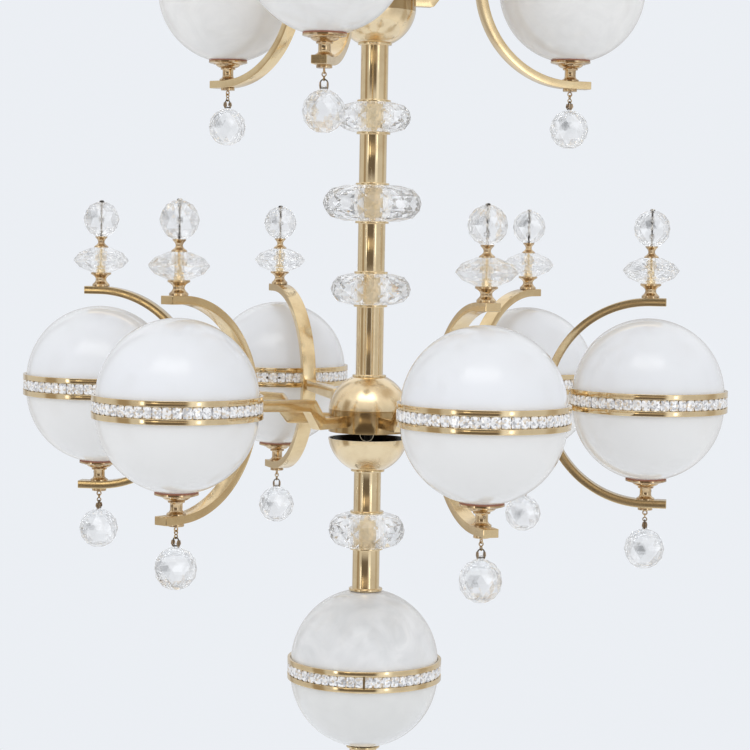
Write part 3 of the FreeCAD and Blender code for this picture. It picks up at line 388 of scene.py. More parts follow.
def buildHandlingMarks():
    # soft smudges and fine hairline scratches; puts out a roughness share, a darkening and a height
    group, given, result = nodeGroup("handlingMarks", {"Scale": 1.0, "Smudge": 1.0, "Scratch": 1.0},
                                     ("Roughness", "Darkening", "Height"))
    sized = addNode(group, "VectorMath", {"operation": "SCALE"}, Scale=given.outputs["Scale"])
    feed(group, sized, {0: objectPlace(group)})
    smudge = addNode(group, "TexNoise", Vector=sized.outputs[0], **marksLook["smudges"])
    stretch = addNode(group, "Mapping", Vector=sized.outputs[0], **marksLook["stretch"])
    scratch = addNode(group, "TexNoise", Vector=stretch.outputs[0], **marksLook["scratches"])
    smudgeMask = ramp(group, smudge.outputs["Fac"], marksLook["smudgeStops"])
    scratchMask = ramp(group, scratch.outputs["Fac"], marksLook["scratchStops"])
    smudged = mathNode(group, "MULTIPLY", smudgeMask, given.outputs["Smudge"])
    scratched = mathNode(group, "MULTIPLY", scratchMask, given.outputs["Scratch"])
    feed(group, result, {"Roughness": mathNode(group, "ADD", smudged, scratched), "Darkening": smudged,
                         "Height": scratched})
    return group


def buildClouding():
    # slow swirls of thicker and thinner white in the glass; a noise bent by another noise
    group, given, result = nodeGroup("clouding", cloudLook["given"], ("Cloud",))
    place = objectPlace(group)
    bend = addNode(group, "TexNoise", Vector=place, **cloudLook["bend"])
    bent = addNode(group, "VectorMath", {"operation": "MULTIPLY_ADD"})
    feed(group, bent, {0: bend.outputs["Color"], 1: given.outputs["Bend"], 2: place})
    cloud = addNode(group, "TexNoise", Vector=bent.outputs[0], Scale=given.outputs["Scale"],
                    **cloudLook["cloud"])
    feed(group, result, {"Cloud": cloud.outputs["Fac"]})
    return group


def buildPaintedSparkle():
    # painted glints: small cells, each with its own level from 0 to 1, and a few of them warm
    group, given, result = nodeGroup("sparkle", paintedSparkleLook["given"], ("Level", "Warm"))
    cells = addNode(group, "TexVoronoi", Vector=objectPlace(group), Scale=given.outputs["Scale"])
    parts = addNode(group, "SeparateXYZ", Vector=cells.outputs["Color"])
    feed(group, result, {"Level": parts.outputs["X"],
                         "Warm": ramp(group, parts.outputs["Y"], paintedSparkleLook["warmStops"])})
    return group


handlingMarks = buildHandlingMarks()
clouding = buildClouding()
sparkle = buildPaintedSparkle()


def newMaterial(name):
    material = bpy.data.materials.new(name)
    material.use_nodes = True
    tree = material.node_tree
    return material, tree, tree.nodes["Principled BSDF"]


def placeGroup(tree, group, **values):
    node = addNode(tree, "Group", {"node_tree": group})
    feed(tree, node, values)
    return node


def brassMaterial(name, look):
    # polished brass: marks make it rougher and a little darker, and scratches lift it by a hair
    material, tree, shader = newMaterial(name)
    marks = placeGroup(tree, handlingMarks, Scale=look["scale"], Smudge=look["smudge"], Scratch=look["scratch"])
    dark = mathNode(tree, "MULTIPLY", marks.outputs["Darkening"], look["darken"], clamp=True)
    colour = mixColours(tree, dark, look["colour"], look["tarnish"])
    rough = mathNode(tree, "MULTIPLY_ADD", marks.outputs["Roughness"], look["markRough"], look["rough"])
    # the inside of a hub bowl is painted near black and rougher: painted shade for its dark hollow
    if "lining" in look:
        inside = addNode(tree, "Attribute", {"attribute_name": "lining"}).outputs["Fac"]
        colour = mixColours(tree, inside, colour, look["lining"])
        rough = mathNode(tree, "MULTIPLY_ADD", inside, look["liningRough"], rough)
    bump = addNode(tree, "Bump", Strength=look["bump"], Distance=look["lift"], Height=marks.outputs["Height"])
    feed(tree, shader, {"Base Color": colour, "Roughness": rough, "Normal": bump.outputs[0], "Metallic": 1.0,
                        "Coat Weight": look["lacquer"], "Coat Roughness": look["lacquerBlur"]})
    return material


brassLook = {"colour": (0.87, 0.70, 0.44, 1), "tarnish": (0.58, 0.39, 0.19, 1), "darken": 0.40, "rough": 0.07,
             "markRough": 0.10, "scale": 1.0, "smudge": 1.0, "scratch": 0.35, "bump": 0.05, "lift": 0.00002,
             "lacquer": 0.3, "lacquerBlur": 0.05}
brassLooks = {
    "polishedBrass": {},
    # the hub's near black inside colour is painted shade for the hollow of the bowl
    "hubBrass": {"rough": 0.14, "markRough": 0.16, "scratch": 0.8, "lining": (0.02, 0.014, 0.01, 1),
                 "liningRough": 0.5, "lacquer": 1.0, "lacquerBlur": 0.16},
    "drumBrass": {"colour": (0.50, 0.35, 0.17, 1), "tarnish": (0.30, 0.19, 0.09, 1), "rough": 0.10,
                  "darken": 0.6},
    "turnedBrass": {"colour": (0.74, 0.56, 0.34, 1), "tarnish": (0.30, 0.19, 0.11, 1), "darken": 0.8,
                    "rough": 0.08, "scale": 3.0},
    "barBrass": {"colour": (0.84, 0.66, 0.39, 1), "darken": 0.6, "rough": 0.13, "smudge": 0.8,
                 "scratch": 0.6, "markRough": 0.12},
}
polishedBrass, hubBrass, drumBrass, turnedBrass, barBrass = (
    brassMaterial(name, dict(brassLook, **look)) for name, look in brassLooks.items())


def opalMaterial(name, look):
    # white glass under a clear gloss, thin enough to let the holder inside show as a soft shade;
    # thinner glass shows greyer clouds, and from the band to the foot the white is painted a warmer grey, a
    # painted shade of the holder inside
    material, tree, shader = newMaterial(name)
    cloud = placeGroup(tree, clouding, Scale=look["cloudScale"], Bend=look["bend"])
    place = addNode(tree, "Attribute", {"attribute_name": "globePlace"})
    parts = addNode(tree, "SeparateXYZ", Vector=place.outputs["Vector"])
    height = mathNode(tree, "ADD", mathNode(tree, "MULTIPLY", parts.outputs["Z"], 0.5), 0.5)
    # how strongly each point below the band gets the painted shade, by its height in the globe
    shadeBelow = ramp(tree, height, look["warmStops"])
    clouded = mixColours(tree, ramp(tree, cloud.outputs["Cloud"], look["cloudStops"]), look["white"],
                         look["cloud"])
    colour = mixColours(tree, mathNode(tree, "MULTIPLY", shadeBelow, look["warmth"]), clouded, look["warm"])
    feed(tree, shader, {"Base Color": colour, "Roughness": look["blur"], "IOR": look["bending"],
                        "Transmission Weight": look["thin"], "Coat Weight": look["gloss"],
                        "Coat Roughness": look["glossBlur"], "Coat IOR": look["glossBending"]})
    return material


# each look's warm colour paints the lower half of its globes a warmer grey: painted shade of the holder inside
opalLook = {"white": (0.925, 0.935, 0.965, 1), "cloud": (0.905, 0.915, 0.935, 1),
            "warm": (0.93, 0.915, 0.89, 1), "warmth": 0.9, "cloudScale": 9.0, "bend": 0.35, "blur": 0.12,
            "bending": 1.25, "thin": 0.17, "gloss": 0.85, "glossBlur": 0.03, "glossBending": 1.45,
            "warmStops": ((0.05, 1.0), (0.44, 0.7), (0.56, 0.0)), "cloudStops": ((0.35, 0.0), (0.68, 1.0))}
greyLook = dict(opalLook, white=(0.96, 0.96, 0.965, 1), cloud=(0.83, 0.835, 0.84, 1),
                warm=(0.85, 0.84, 0.81, 1), bend=0.9)
cloudyLook = dict(opalLook, white=(0.985, 0.98, 0.975, 1), cloud=(0.885, 0.88, 0.88, 1),
                  warm=(0.95, 0.935, 0.90, 1), warmth=0.5, cloudScale=16.0, bend=0.9)
opalGlass = opalMaterial("opalGlass", opalLook)
cloudyOpal = opalMaterial("cloudyOpal", cloudyLook)
greyOpal = opalMaterial("greyOpal", greyLook)


def crystalMaterial(name, look):
    # clear cut glass; a trace of dust makes a few facets less clean. Light that has been thrown about
    # inside many times passes straight out, as it leaves real cut glass in a white room
    material, tree, shader = newMaterial(name)
    depth = addNode(tree, "LightPath").outputs["Ray Depth"]
    shallow = mathNode(tree, "LESS_THAN", depth, look["depth"])
    dust = addNode(tree, "TexNoise", Vector=objectPlace(tree), Scale=look["dustScale"], Detail=3.0)
    mask = ramp(tree, dust.outputs["Fac"], look["dustStops"])
    feed(tree, shader, {"Base Color": mixColours(tree, mask, look["clear"], look["dull"]),
                        "Roughness": mathNode(tree, "MULTIPLY", mask, look["dust"]), "IOR": look["bending"],
                        "Alpha": mathNode(tree, "MULTIPLY", shallow, look["body"]), "Transmission Weight": 1.0})
    return material


crystalLook = {"clear": (1, 1, 1, 1), "dull": (0.97, 0.98, 0.98, 1), "dust": 0.05, "dustScale": 60.0,
               "dustStops": ((0.5, 0.0), (0.8, 1.0)), "bending": 1.50, "depth": 5.5, "body": 0.56}
ringLook = dict(crystalLook, depth=7.5, body=0.86, bending=1.56)
cutCrystal = crystalMaterial("cutCrystal", crystalLook)
ringCrystal = crystalMaterial("ringCrystal", ringLook)

grainLook = {"spread": 0.5, "roughVary": 0.2, "metal": 0.0}


def plainMaterial(name, look):
    # a coloured surface with a fine grain in its colour and roughness; the spread says how soft it is
    material, tree, shader = newMaterial(name)
    look = dict(grainLook, **look)
    grain = addNode(tree, "TexNoise", Vector=objectPlace(tree), Scale=look["grainScale"], Detail=4.0)
    share = ramp(tree, grain.outputs["Fac"], [(0.5 - look["spread"], 0.0), (0.5 + look["spread"], 1.0)])
    rough = mathNode(tree, "MULTIPLY_ADD", grain.outputs["Fac"], look["roughVary"], look["rough"])
    feed(tree, shader, {"Base Color": mixColours(tree, share, look["colour"], look["second"]),
                        "Roughness": rough, "Metallic": look["metal"]})
    return material


def stoneMaterial(name, look):
    # foiled stones: the facets inside show as small cells of painted glints and painted shade, white to grey,
    # and a few painted gold glints
    material, tree, shader = newMaterial(name)
    cells = placeGroup(tree, sparkle, Scale=look["cells"])
    level = ramp(tree, cells.outputs["Level"], look["levelStops"])
    colour = mixColours(tree, level, look["dark"], look["white"])
    warm = mathNode(tree, "MULTIPLY", cells.outputs["Warm"], look["warmth"])
    feed(tree, shader, {"Base Color": mixColours(tree, warm, colour, look["warm"]), "Roughness": look["rough"],
                        "Metallic": look["metal"]})
    return material


# the stones' white and grey cells are painted glints and painted shade of the facets, and the warm cells
# painted gold glints
stoneLook = {"cells": 460.0, "dark": (0.52, 0.52, 0.54, 1), "white": (0.98, 0.98, 0.99, 1),
             "warm": (0.70, 0.54, 0.34, 1), "warmth": 0.6, "rough": 0.08, "metal": 0.25,
             "levelStops": ((0.10, 0.0), (0.60, 1.0))}
plainLooks = {
    "darkPin": {"colour": (0.16, 0.12, 0.08, 1), "second": (0.07, 0.055, 0.04, 1), "grainScale": 900.0,
                "rough": 0.22, "metal": 0.9},
    "chainPin": {"colour": (0.05, 0.04, 0.035, 1), "second": (0.86, 0.83, 0.78, 1), "grainScale": 240.0,
                 "rough": 0.15, "spread": 0.05, "metal": 0.7},
    "loopWire": {"colour": (0.80, 0.74, 0.60, 1), "second": (0.62, 0.54, 0.40, 1), "grainScale": 900.0,
                 "rough": 0.3, "metal": 0.6},
    "agedLeaf": {"colour": (0.60, 0.46, 0.31, 1), "second": (0.28, 0.19, 0.12, 1), "grainScale": 700.0,
                 "rough": 0.2, "metal": 0.95},
    "goldWire": {"colour": (0.62, 0.44, 0.20, 1), "second": (0.36, 0.24, 0.10, 1), "grainScale": 800.0,
                 "rough": 0.14, "roughVary": 0.15, "metal": 1.0},
    "gasketRubber": {"colour": (0.42, 0.17, 0.10, 1), "second": (0.30, 0.12, 0.07, 1), "grainScale": 500.0,
                     "rough": 0.5, "roughVary": 0.3},
    "darkSteel": {"colour": (0.10, 0.095, 0.09, 1), "second": (0.05, 0.047, 0.043, 1), "grainScale": 300.0,
                  "rough": 0.5, "metal": 0.8},
    "platedSteel": {"colour": (0.66, 0.65, 0.62, 1), "second": (0.50, 0.49, 0.47, 1), "grainScale": 260.0,
                    "rough": 0.25, "metal": 1.0},
    "holderPlastic": {"colour": (0.42, 0.36, 0.28, 1), "second": (0.35, 0.30, 0.23, 1), "grainScale": 120.0,
                      "rough": 0.45},
    "frostedLamp": {"colour": (0.92, 0.92, 0.90, 1), "second": (0.84, 0.84, 0.82, 1), "grainScale": 90.0,
                    "rough": 0.3, "roughVary": 0.15},
}
bandStone = stoneMaterial("bandStone", stoneLook)
plain = {name: plainMaterial(name, look) for name, look in plainLooks.items()}
print("materials made:", len(bpy.data.materials))


# Where each light stands, from the hinges of the hanging drops

globe = {"radius": 0.090, "wall": 0.003, "waist": 0.0135, "hole": 0.015, "hingeBelow": 0.138,
         "segments": 112}
drops = []
for joint in frame["joints"]:
    if joint["name"].startswith("hanger_swing_"):
        x, y, z = joint["pos_m"]
        drops.append({"number": int(joint["name"].rsplit("_", 1)[1]), "place": (x, y, z + globe["hingeBelow"]),
                      "turn": math.atan2(joint["axis"][1], joint["axis"][0])})
drops.sort(key=lambda light: light["number"])
armLights = drops[:9]
lowerLights, upperLights = armLights[:6], armLights[6:]
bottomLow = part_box("bottom_globe_glass_top")[0]
bottomLight = {"turn": 0.0, "place": (0, 0, bottomLow.z - globe["waist"] / 2)}
allLights = armLights + [bottomLight]


# Globes

def glassHalf(hole, upward):
    # a spherical wall above the waist: outside arc from the rim to the hole at the pole, and back inside
    outer, inner = globe["radius"], globe["radius"] - globe["wall"]
    outerEnd = math.degrees(math.acos(hole / outer))
    innerEnd = math.degrees(math.acos(hole / inner))
    outside = arcPoints((0, 0), outer, 0, outerEnd, steps=34)
    inside = arcPoints((0, 0), inner, innerEnd, 0, steps=18)
    profile = np.vstack([outside, inside]) + (0, globe["waist"] / 2)
    if not upward:
        profile = (profile * (1, -1))[::-1]
    return turned(profile, globe["segments"])


tierLights = {"lower": lowerLights, "upper": upperLights}
tierGlass = {"lower": opalGlass, "upper": cloudyOpal}
glassRows = [(f"{tier}Globe{part}s", glassHalf(hole, upward), tierLights[tier], tierGlass[tier],
              f"{tier}_tier_glass_{part.lower()}s")
             for tier in ("lower", "upper")
             for part, hole, upward in (("Top", 0.0, True), ("Base", globe["hole"], False))]
glassRows += [(f"bottomGlobe{part}", glassHalf(globe["hole"], part == "Top"), [bottomLight], greyOpal,
               f"bottom_globe_glass_{part.lower()}") for part in ("Top", "Base")]
for name, shape, lights, glass, node in glassRows:
    addUpright(piece(name, scattered(shape, lights), glass, (node,)), lights, globe["radius"])
print("globes made:", len(allLights))


# Equator bands and their stones

band = {"radius": 0.094, "bore": 0.0903, "floor": 0.0913, "height": 0.0256, "channel": 0.0132,
        "ledge": 0.0868, "ledgeHeight": 0.0133, "edge": 0.0005, "segments": 160, "bottomTurn": 98.5,
        "stones": 54, "stoneWidth": 0.00538, "stoneHeight": 0.00655, "stoneBack": 0.0918,
        "stoneFront": 0.0939, "stoneSquare": 0.22, "claw": 0.0006, "clawSink": 0.9, "joint": 0.0026,
        "jointDepth": 0.0014, "jointLap": 0.001, "jointProud": 0.0001}
stoneShares = ((0.46, 1.0), (0.80, 0.78), (1.0, 0.42), (0.97, 0.0))
clawShares = ((1.0, 0.0), (0.7, 0.8), (0.0, 1.0))
# dark plugs that stand for the shade in two empty stone seats
seatShade = {"light": 2, "turns": (-208.0, -198.2), "radius": 0.0016, "front": 0.0942, "back": 0.0925}


def bandShape():
    h, c, w = band["height"] / 2, band["channel"] / 2, band["ledgeHeight"] / 2
    corners = [(band["ledge"], -w), (band["bore"], -w), (band["bore"], -h), (band["radius"], -h),
               (band["radius"], -c), (band["floor"], -c), (band["floor"], c), (band["radius"], c),
               (band["radius"], h), (band["bore"], h), (band["bore"], w), (band["ledge"], w)]
    return turned(eased(corners, band["edge"]), band["segments"])


def stoneShape():
    # one stone that stands out along +X: table, crown and girdle rings of eight corners, each
    # turned half a facet from the last; the rings are pushed out towards a square, by
    # 1 + share * sin(twice the turn) ^ 2
    points, faces = faceted(stoneShares, facets=8)
    across, along, out = points.T
    square = 1 + band["stoneSquare"] * np.sin(2 * np.arctan2(along, across)) ** 2
    deep = band["stoneFront"] - band["stoneBack"]
    return np.stack([out * deep + band["stoneBack"], np.clip(along * square, -1, 1) * band["stoneWidth"],
                     -np.clip(across * square, -1, 1) * band["stoneHeight"]], -1), faces


def clawShape():
    # a small domed bead of brass, six sided, that stands out along +X between two stones
    return outwards(turned(np.array(clawShares) * band["claw"], segments=6, closed=False))


def aroundBand(shape, count, shift):
    return joined([moved(shape, turn=2 * math.pi * (k + shift) / count) for k in range(count)])


def clawRow():
    out = band["radius"] - band["clawSink"] * band["claw"]
    beads = [moved(clawShape(), (out, 0, way * (band["channel"] / 2 - band["claw"]))) for way in (1, -1)]
    return aroundBand(joined(beads), band["stones"], 0.0)


def jointBar():
    # a small flat bar over the joint of the stone row, on the side towards the stem
    half, tall = band["joint"] / 2, band["channel"] / 2 + band["jointLap"]
    front, back = -band["radius"] - band["jointProud"], -band["radius"] + band["jointDepth"]
    x, y, z = np.meshgrid([front, back], [-half, half], [-tall, tall], indexing="ij")
    sides = [[0, 1, 3, 2], [4, 6, 7, 5], [0, 4, 5, 1], [2, 3, 7, 6], [0, 2, 6, 4], [1, 5, 7, 3]]
    return np.stack([x, y, z], -1).reshape(-1, 3), [np.array(sides)]


def seatShadeShape():
    # short dark plugs in the stone row, a painted shade for the empty hollows where a rear globe has lost the
    # middle of two stones
    plug = outwards(rod(seatShade["radius"], seatShade["back"], seatShade["front"], segments=12))
    return joined([moved(plug, turn=math.radians(turn)) for turn in seatShade["turns"]])


bandLights = armLights + [dict(bottomLight, turn=math.radians(band["bottomTurn"]))]
piece("globeBands", scattered(joined([bandShape(), clawRow(), jointBar()]), bandLights), polishedBrass,
      ("globe_bands",))
piece("bandStones", scattered(aroundBand(stoneShape(), band["stones"], 0.5), bandLights), bandStone,
      ("band_crystals",))
piece("bandDarkSeats", scattered(seatShadeShape(), [armLights[seatShade["light"]]]), plain["darkPin"])
print("bands made:", len(allLights), "with", band["stones"], "stones each")


# Arms: a square bar with a step, and the C bracket round the globe

arm = {"width": 0.0125, "height": 0.0135, "drop": 0.0132, "start": 0.0455, "run": 0.0179, "rise": 0.0226,
       "climb": 0.005, "edge": 0.0007, "bend": 0.0022, "bendSteps": 5, "inner": 0.1155, "thick": 0.0095,
       "bracketWidth": 0.018, "sink": 0.004, "top": 0.019, "foot": 0.025,
       "lower": {"lift": 0.0205, "step": 0.094}, "upper": {"lift": 0.0175, "step": 0.0665}}


def armShape(tier, reach):
    # a beam out from the drum with one step up, and a bracket: a half circle on the stem's side of
    # the globe, with a short leg over it and under it. X counts outwards from the globe's centre
    low = -arm[tier]["lift"] - arm["drop"]
    half = arm["height"] / 2
    high = low + arm["rise"]
    slant = arm["height"] * arm["run"] / arm["rise"] / 2
    first = arm[tier]["step"] - reach
    second = first + arm["run"]
    start, weld = arm["start"] - reach, -arm["inner"] - arm["thick"] / 2
    lowRail = [(start, low - half), (first + slant, low - half), (second + slant, high - half),
               (weld, high + arm["climb"] - half)]
    highRail = [(start, low + half), (first - slant, low + half), (second - slant, high + half),
                (weld, high + arm["climb"] + half)]

    def softened(rail):
        # the two bends of the step get a small radius; each end of the rail comes back as several
        # points in one place, and one of them stays
        spare = arm["bendSteps"] - 1
        return eased(rail, arm["bend"], arm["bendSteps"], closed=False)[spare:-spare]

    beam = barBetween(softened(lowRail), softened(highRail), arm["width"], arm["edge"])
    centre = (0, -arm["sink"])
    rails = []
    for radius in (arm["inner"], arm["inner"] + arm["thick"]):
        turn = arcPoints(centre, radius, 90, 270, steps=73)
        rails.append(np.vstack([(arm["top"], turn[0][1]), turn, (arm["foot"], turn[-1][1])]))
    bracket = barBetween(rails[1], rails[0], arm["bracketWidth"], arm["edge"])
    return joined([beam, bracket])


for tier, lights in tierLights.items():
    for number, light in enumerate(lights, 1):
        reach = math.hypot(light["place"][0], light["place"][1])
        piece(f"{tier}Arm{number}", scattered(armShape(tier, reach), [light]), barBrass,
              (f"{tier}_arm_{number}",), sharp=28)
print("arms made:", len(armLights))


# Stem, from the ceiling down

stem = {"order": "tube ring tube ring tube hub tube ring tube ring tube ring tube hub tube ring tube",
        "tubes": (0.079, 0.078, 0.066, 0.071, 0.064, 0.0635, 0.088, 0.054, 0.053), "tail": 0.022,
        "rings": ((0.0595, 0.043), (0.046, 0.037), (0.045, 0.0355), (0.0597, 0.043), (0.0485, 0.037),
                  (0.0465, 0.0415)),
        "radius": 0.0165, "flange": 0.0204, "flangeHeight": 0.0028, "spigot": 0.0145, "bore": 0.0053,
        "edge": 0.0007, "ringFacets": 16, "ringBore": 0.0148, "seat": 0.0001, "segments": 96}
hub = {"radius": 0.0485, "dome": 0.0385, "drum": 0.0277, "bowl": 0.0377, "crown": 0.0215, "drop": 0.008,
       "wall": 0.0016, "edge": 0.0004, "groove": 0.0009, "drumWall": 0.003, "web": 0.004, "liningShare": 0.6,
       "segments": 128}
ringShares = np.array([(0.56, 1.0), (0.83, 0.80), (0.965, 0.40), (1.0, 0.0), (0.965, -0.40), (0.83, -0.80),
                       (0.56, -1.0)])


def tubeShape(top, length, spigot=0.0):
    # flange, tube, flange, and under them the thin spigot that runs through a glass ring
    r, f, h, b = stem["radius"], stem["flange"], stem["flangeHeight"], stem["bore"]
    foot = top - length
    corners = [(b, foot), (f, foot), (f, foot + h), (r, foot + h), (r, top - h), (f, top - h), (f, top),
               (b, top)]
    if spigot:
        s = stem["spigot"]
        corners = [(b, foot - spigot), (s, foot - spigot), (s, foot)] + corners[1:]
    return turned(eased(corners, stem["edge"]), stem["segments"])


def capCircle(height):
    # the circle centred on the axis that passes through the rim and the edge of the flat crown
    offset = (height ** 2 + hub["crown"] ** 2 - hub["radius"] ** 2) / (2 * height)
    return offset, math.hypot(hub["radius"], offset)


def capProfile(height):
    # an arc from the rim to the flat crown
    offset, curve = capCircle(height)
    first = math.degrees(math.atan2(-offset, hub["radius"]))
    last = math.degrees(math.atan2(height - offset, hub["crown"]))
    innerFirst = math.degrees(math.asin(-offset / (curve - hub["wall"])))
    outside = arcPoints((0, offset), curve, first, last, steps=30)
    inside = arcPoints((0, offset), curve - hub["wall"], last, innerFirst, steps=16)
    return np.vstack([outside, (stem["bore"], height), (stem["bore"], height - hub["wall"]), inside])


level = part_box("ceiling_canopy")[0].z
tubeShapes, ringShapes, seams = [], [], []
tubeNumber = ringNumber = 0
order = stem["order"].split()
for place, kind in enumerate(order):
    following = order[place + 1] if place + 1 < len(order) else None
    if kind == "tube":
        length = stem["tubes"][tubeNumber]
        spigot = stem["rings"][ringNumber][1] - stem["seat"] if following == "ring" else 0.0
        tubeShapes.append(tubeShape(level, length, spigot))
        level -= length
        tubeNumber += 1
    elif kind == "ring":
        radius, height = stem["rings"][ringNumber]
        ringShapes.append(boredStone(ringShares, radius, height, level - height / 2, stem["ringFacets"],
                                     stem["ringBore"]))
        level -= height
        ringNumber += 1
    else:
        seam = level - hub["dome"]
        seams.append(seam)
        level = seam - hub["drum"] - hub["bowl"]
        if len(seams) == 2:
            level -= hub["drop"] + stem["seat"]
poleHeight = globe["waist"] / 2 + math.sqrt(globe["radius"] ** 2 - globe["hole"] ** 2) + stem["seat"]
tailTop = bottomLight["place"][2] - poleHeight
tubeShapes.append(tubeShape(tailTop, stem["tail"]))
piece("stemTubes", joined(tubeShapes), polishedBrass, ("stem_tubes",))
piece("stemRings", joined(ringShapes), ringCrystal, ("stem_crystals",))
print("stem made, its foot at", round(level, 4))

dome = turned(capProfile(hub["dome"]), hub["segments"])
piece("hubDomes", joined([moved(dome, (0, 0, seam)) for seam in seams]), hubBrass,
      ("hub_domes",))


def drumShape(seam):
    # a wall under a web; a groove round its upper edge leaves a dark line under the dome
    r, f, b, g = hub["radius"], seam - hub["drum"], stem["bore"], hub["groove"]
    inner, under = r - hub["drumWall"], seam - hub["web"]
    corners = [(inner, f), (r, f), (r, seam - g), (r - g, seam - g), (r - g, seam), (b, seam), (b, under),
               (inner, under)]
    return turned(eased(corners, hub["edge"]), hub["segments"])


piece("hubDrums", joined([drumShape(seam) for seam in seams]), drumBrass, ("hub_drums",))
bowl = turned((capProfile(hub["bowl"]) * (1, -1))[::-1], hub["segments"])
upperRim = seams[0] - hub["drum"]
lowerRim = seams[1] - hub["drum"] - hub["drop"]
bowlOffset, bowlCurve = capCircle(hub["bowl"])
for name, node, rim, body in (("upperHubBowl", "upper_hub_bowl", upperRim, "frame"),
                              ("lowerHubBowl", "lower_hub_bowl", lowerRim, "lower_bowl")):
    made = piece(name, moved(bowl, (0, 0, rim)), hubBrass, (node,), body)
    addPaintedShade(made, rim - bowlOffset, bowlCurve)
print("hubs made:", len(seams))

canopy = {"radius": 0.064, "neck": 0.021, "height": 0.054, "rim": 0.007, "wall": 0.0016, "bow": 0.012,
          "steps": 24}
outsideBell = bowed((canopy["neck"], -canopy["height"]), (canopy["radius"], -canopy["rim"]), canopy["bow"],
                    canopy["steps"])
canopyProfile = np.vstack([
    (stem["bore"], -canopy["height"]), outsideBell, (canopy["radius"], -stem["seat"]),
    (canopy["radius"] - canopy["wall"], -stem["seat"]),
    (outsideBell + (-canopy["wall"], canopy["wall"]))[::-1],
    (stem["bore"], -canopy["height"] + canopy["wall"])])
piece("canopyBell", turned(canopyProfile, hub["segments"]), polishedBrass,
      ("ceiling_canopy",))


# Cups, gaskets and finials on each bracket

barTop = arm["inner"] + arm["thick"] - arm["sink"]
footTop = -arm["sink"] - arm["inner"]
footBottom = footTop - arm["thick"]

# Profiles are (radius, height) points. The cup's foot counts from the bracket, and its collar, cone
# and dish from the gasket; a spool's low points count from its foot, and the rest from its top
cup = {"bore": 0.005, "neck": 0.0069, "neckFoot": 0.0072, "neckTop": 0.0096, "flareBow": 0.0009,
       "coneBow": -0.0007, "foot": ((0.0108, 0.0), (0.0108, 0.0015), (0.0100, 0.0023), (0.0096, 0.0024)),
       "collar": ((0.0069, -0.0106), (0.0073, -0.0099), (0.0090, -0.0096), (0.0094, -0.0090),
                  (0.0094, -0.0080)), "cone": ((0.0088, -0.0075), (0.0155, -0.0040)),
       "dish": ((0.0155, -0.0034), (0.0185, -0.0030), (0.0189, -0.0024), (0.0226, -0.0018),
                (0.0246, -0.0010), (0.0246, 0.0008), (0.0242, 0.0010), (0.0241, 0.0)),
       "gasket": 0.0242, "gasketBore": 0.019, "gasketThick": 0.0012, "gasketGap": 0.00008,
       "gasketSteps": 6, "segments": 80}
glassUnder = globe["waist"] / 2 + math.sqrt(globe["radius"] ** 2 - cup["gasketBore"] ** 2) + stem["seat"]
gasketFoot = -glassUnder - cup["gasketThick"]
dishSeat = gasketFoot - stem["seat"]
neckFoot, neckTop = footTop + cup["neckFoot"], dishSeat - cup["neckTop"]


def cupShape():
    foot = np.array(cup["foot"]) + (0, footTop)
    collar, cone, dish = (np.array(cup[part]) + (0, dishSeat) for part in ("collar", "cone", "dish"))
    flare = bowed(foot[-1], (cup["neck"], neckFoot), cup["flareBow"], steps=12)
    profile = np.vstack([(cup["bore"], footTop), foot, flare[1:], collar,
                         bowed(*cone, cup["coneBow"], steps=8), dish, (cup["bore"], dishSeat)])
    return turned(profile, cup["segments"])


def gasketShape():
    # a soft ring that follows the underside of the globe
    r = np.linspace(cup["gasket"], cup["gasketBore"], cup["gasketSteps"])
    under = -globe["waist"] / 2 - np.sqrt(globe["radius"] ** 2 - r ** 2) - cup["gasketGap"]
    return turned(np.vstack([(cup["gasketBore"], gasketFoot), (cup["gasket"], gasketFoot),
                             np.stack([r, under], -1)]), cup["segments"])


finial = {"bore": 0.0015, "neck": 0.0064, "segments": 64,
          "base": {"height": 0.017, "low": ((0.0106, 0.0), (0.0106, 0.0022), (0.0096, 0.0034)),
                   "waist": (0.0104, -0.0034), "bow": 0.0036, "steps": 16,
                   "high": ((0.0124, -0.0022), (0.0124, -0.0004), (0.0118, 0.0))},
          "collar": {"height": 0.0136, "low": ((0.0087, 0.0), (0.0087, 0.0012), (0.0075, 0.0024)),
                     "waist": (0.0062, -0.0024), "bow": 0.0029, "steps": 14,
                     "high": ((0.0074, -0.0012), (0.0074, 0.0))},
          "rondelle": 0.0337, "rondelleHeight": 0.0306, "rondelleFacets": 14, "ball": 0.022,
          "ballFacets": 12, "stem": 0.0014, "pin": 0.001, "pinSink": 0.001, "pinSteps": 90,
          "bead": 0.0021, "beads": 6, "knob": ((0.003, 0.0), (0.003, 0.0012), (0.00216, 0.0022), (0.0, 0.0024)),
          "sleeve": 0.005, "sleeveHeight": 0.015, "sleeveEdge": 0.0008, "screw": 0.0015,
          "screwDepth": 0.0015, "socket": 0.0009, "socketDepth": 0.0008, "proud": 0.00008}
baseTop = barTop + finial["base"]["height"]
rondelleTop = baseTop + finial["rondelleHeight"]
collarTop = rondelleTop + finial["collar"]["height"]
rondelleShares = np.array([(0.36, 1.0), (0.80, 0.58), (1.0, 0.06), (1.0, -0.06), (0.80, -0.58), (0.36, -1.0)])
ballShares = np.array([(0.30, 0.95), (0.64, 0.77), (0.90, 0.43), (1.0, 0.0), (0.90, -0.43), (0.64, -0.77),
                       (0.30, -0.95)])
ballLevel = collarTop + finial["ball"] * ballShares[0][1] + stem["seat"]
knobFoot = ballLevel + finial["ball"] * ballShares[0][1] + stem["seat"]


def spoolShape(foot, look):
    # a turned spool with a bowed waist between its low and its high points
    top = foot + look["height"]
    low, high = np.array(look["low"]) + (0, foot), np.array(look["high"]) + (0, top)
    waist = bowed(low[-1], np.array(look["waist"]) + (0, top), look["bow"], look["steps"])
    return turned(np.vstack([(finial["bore"], foot), low, waist[1:-1], high, (finial["bore"], top)]),
                  finial["segments"])


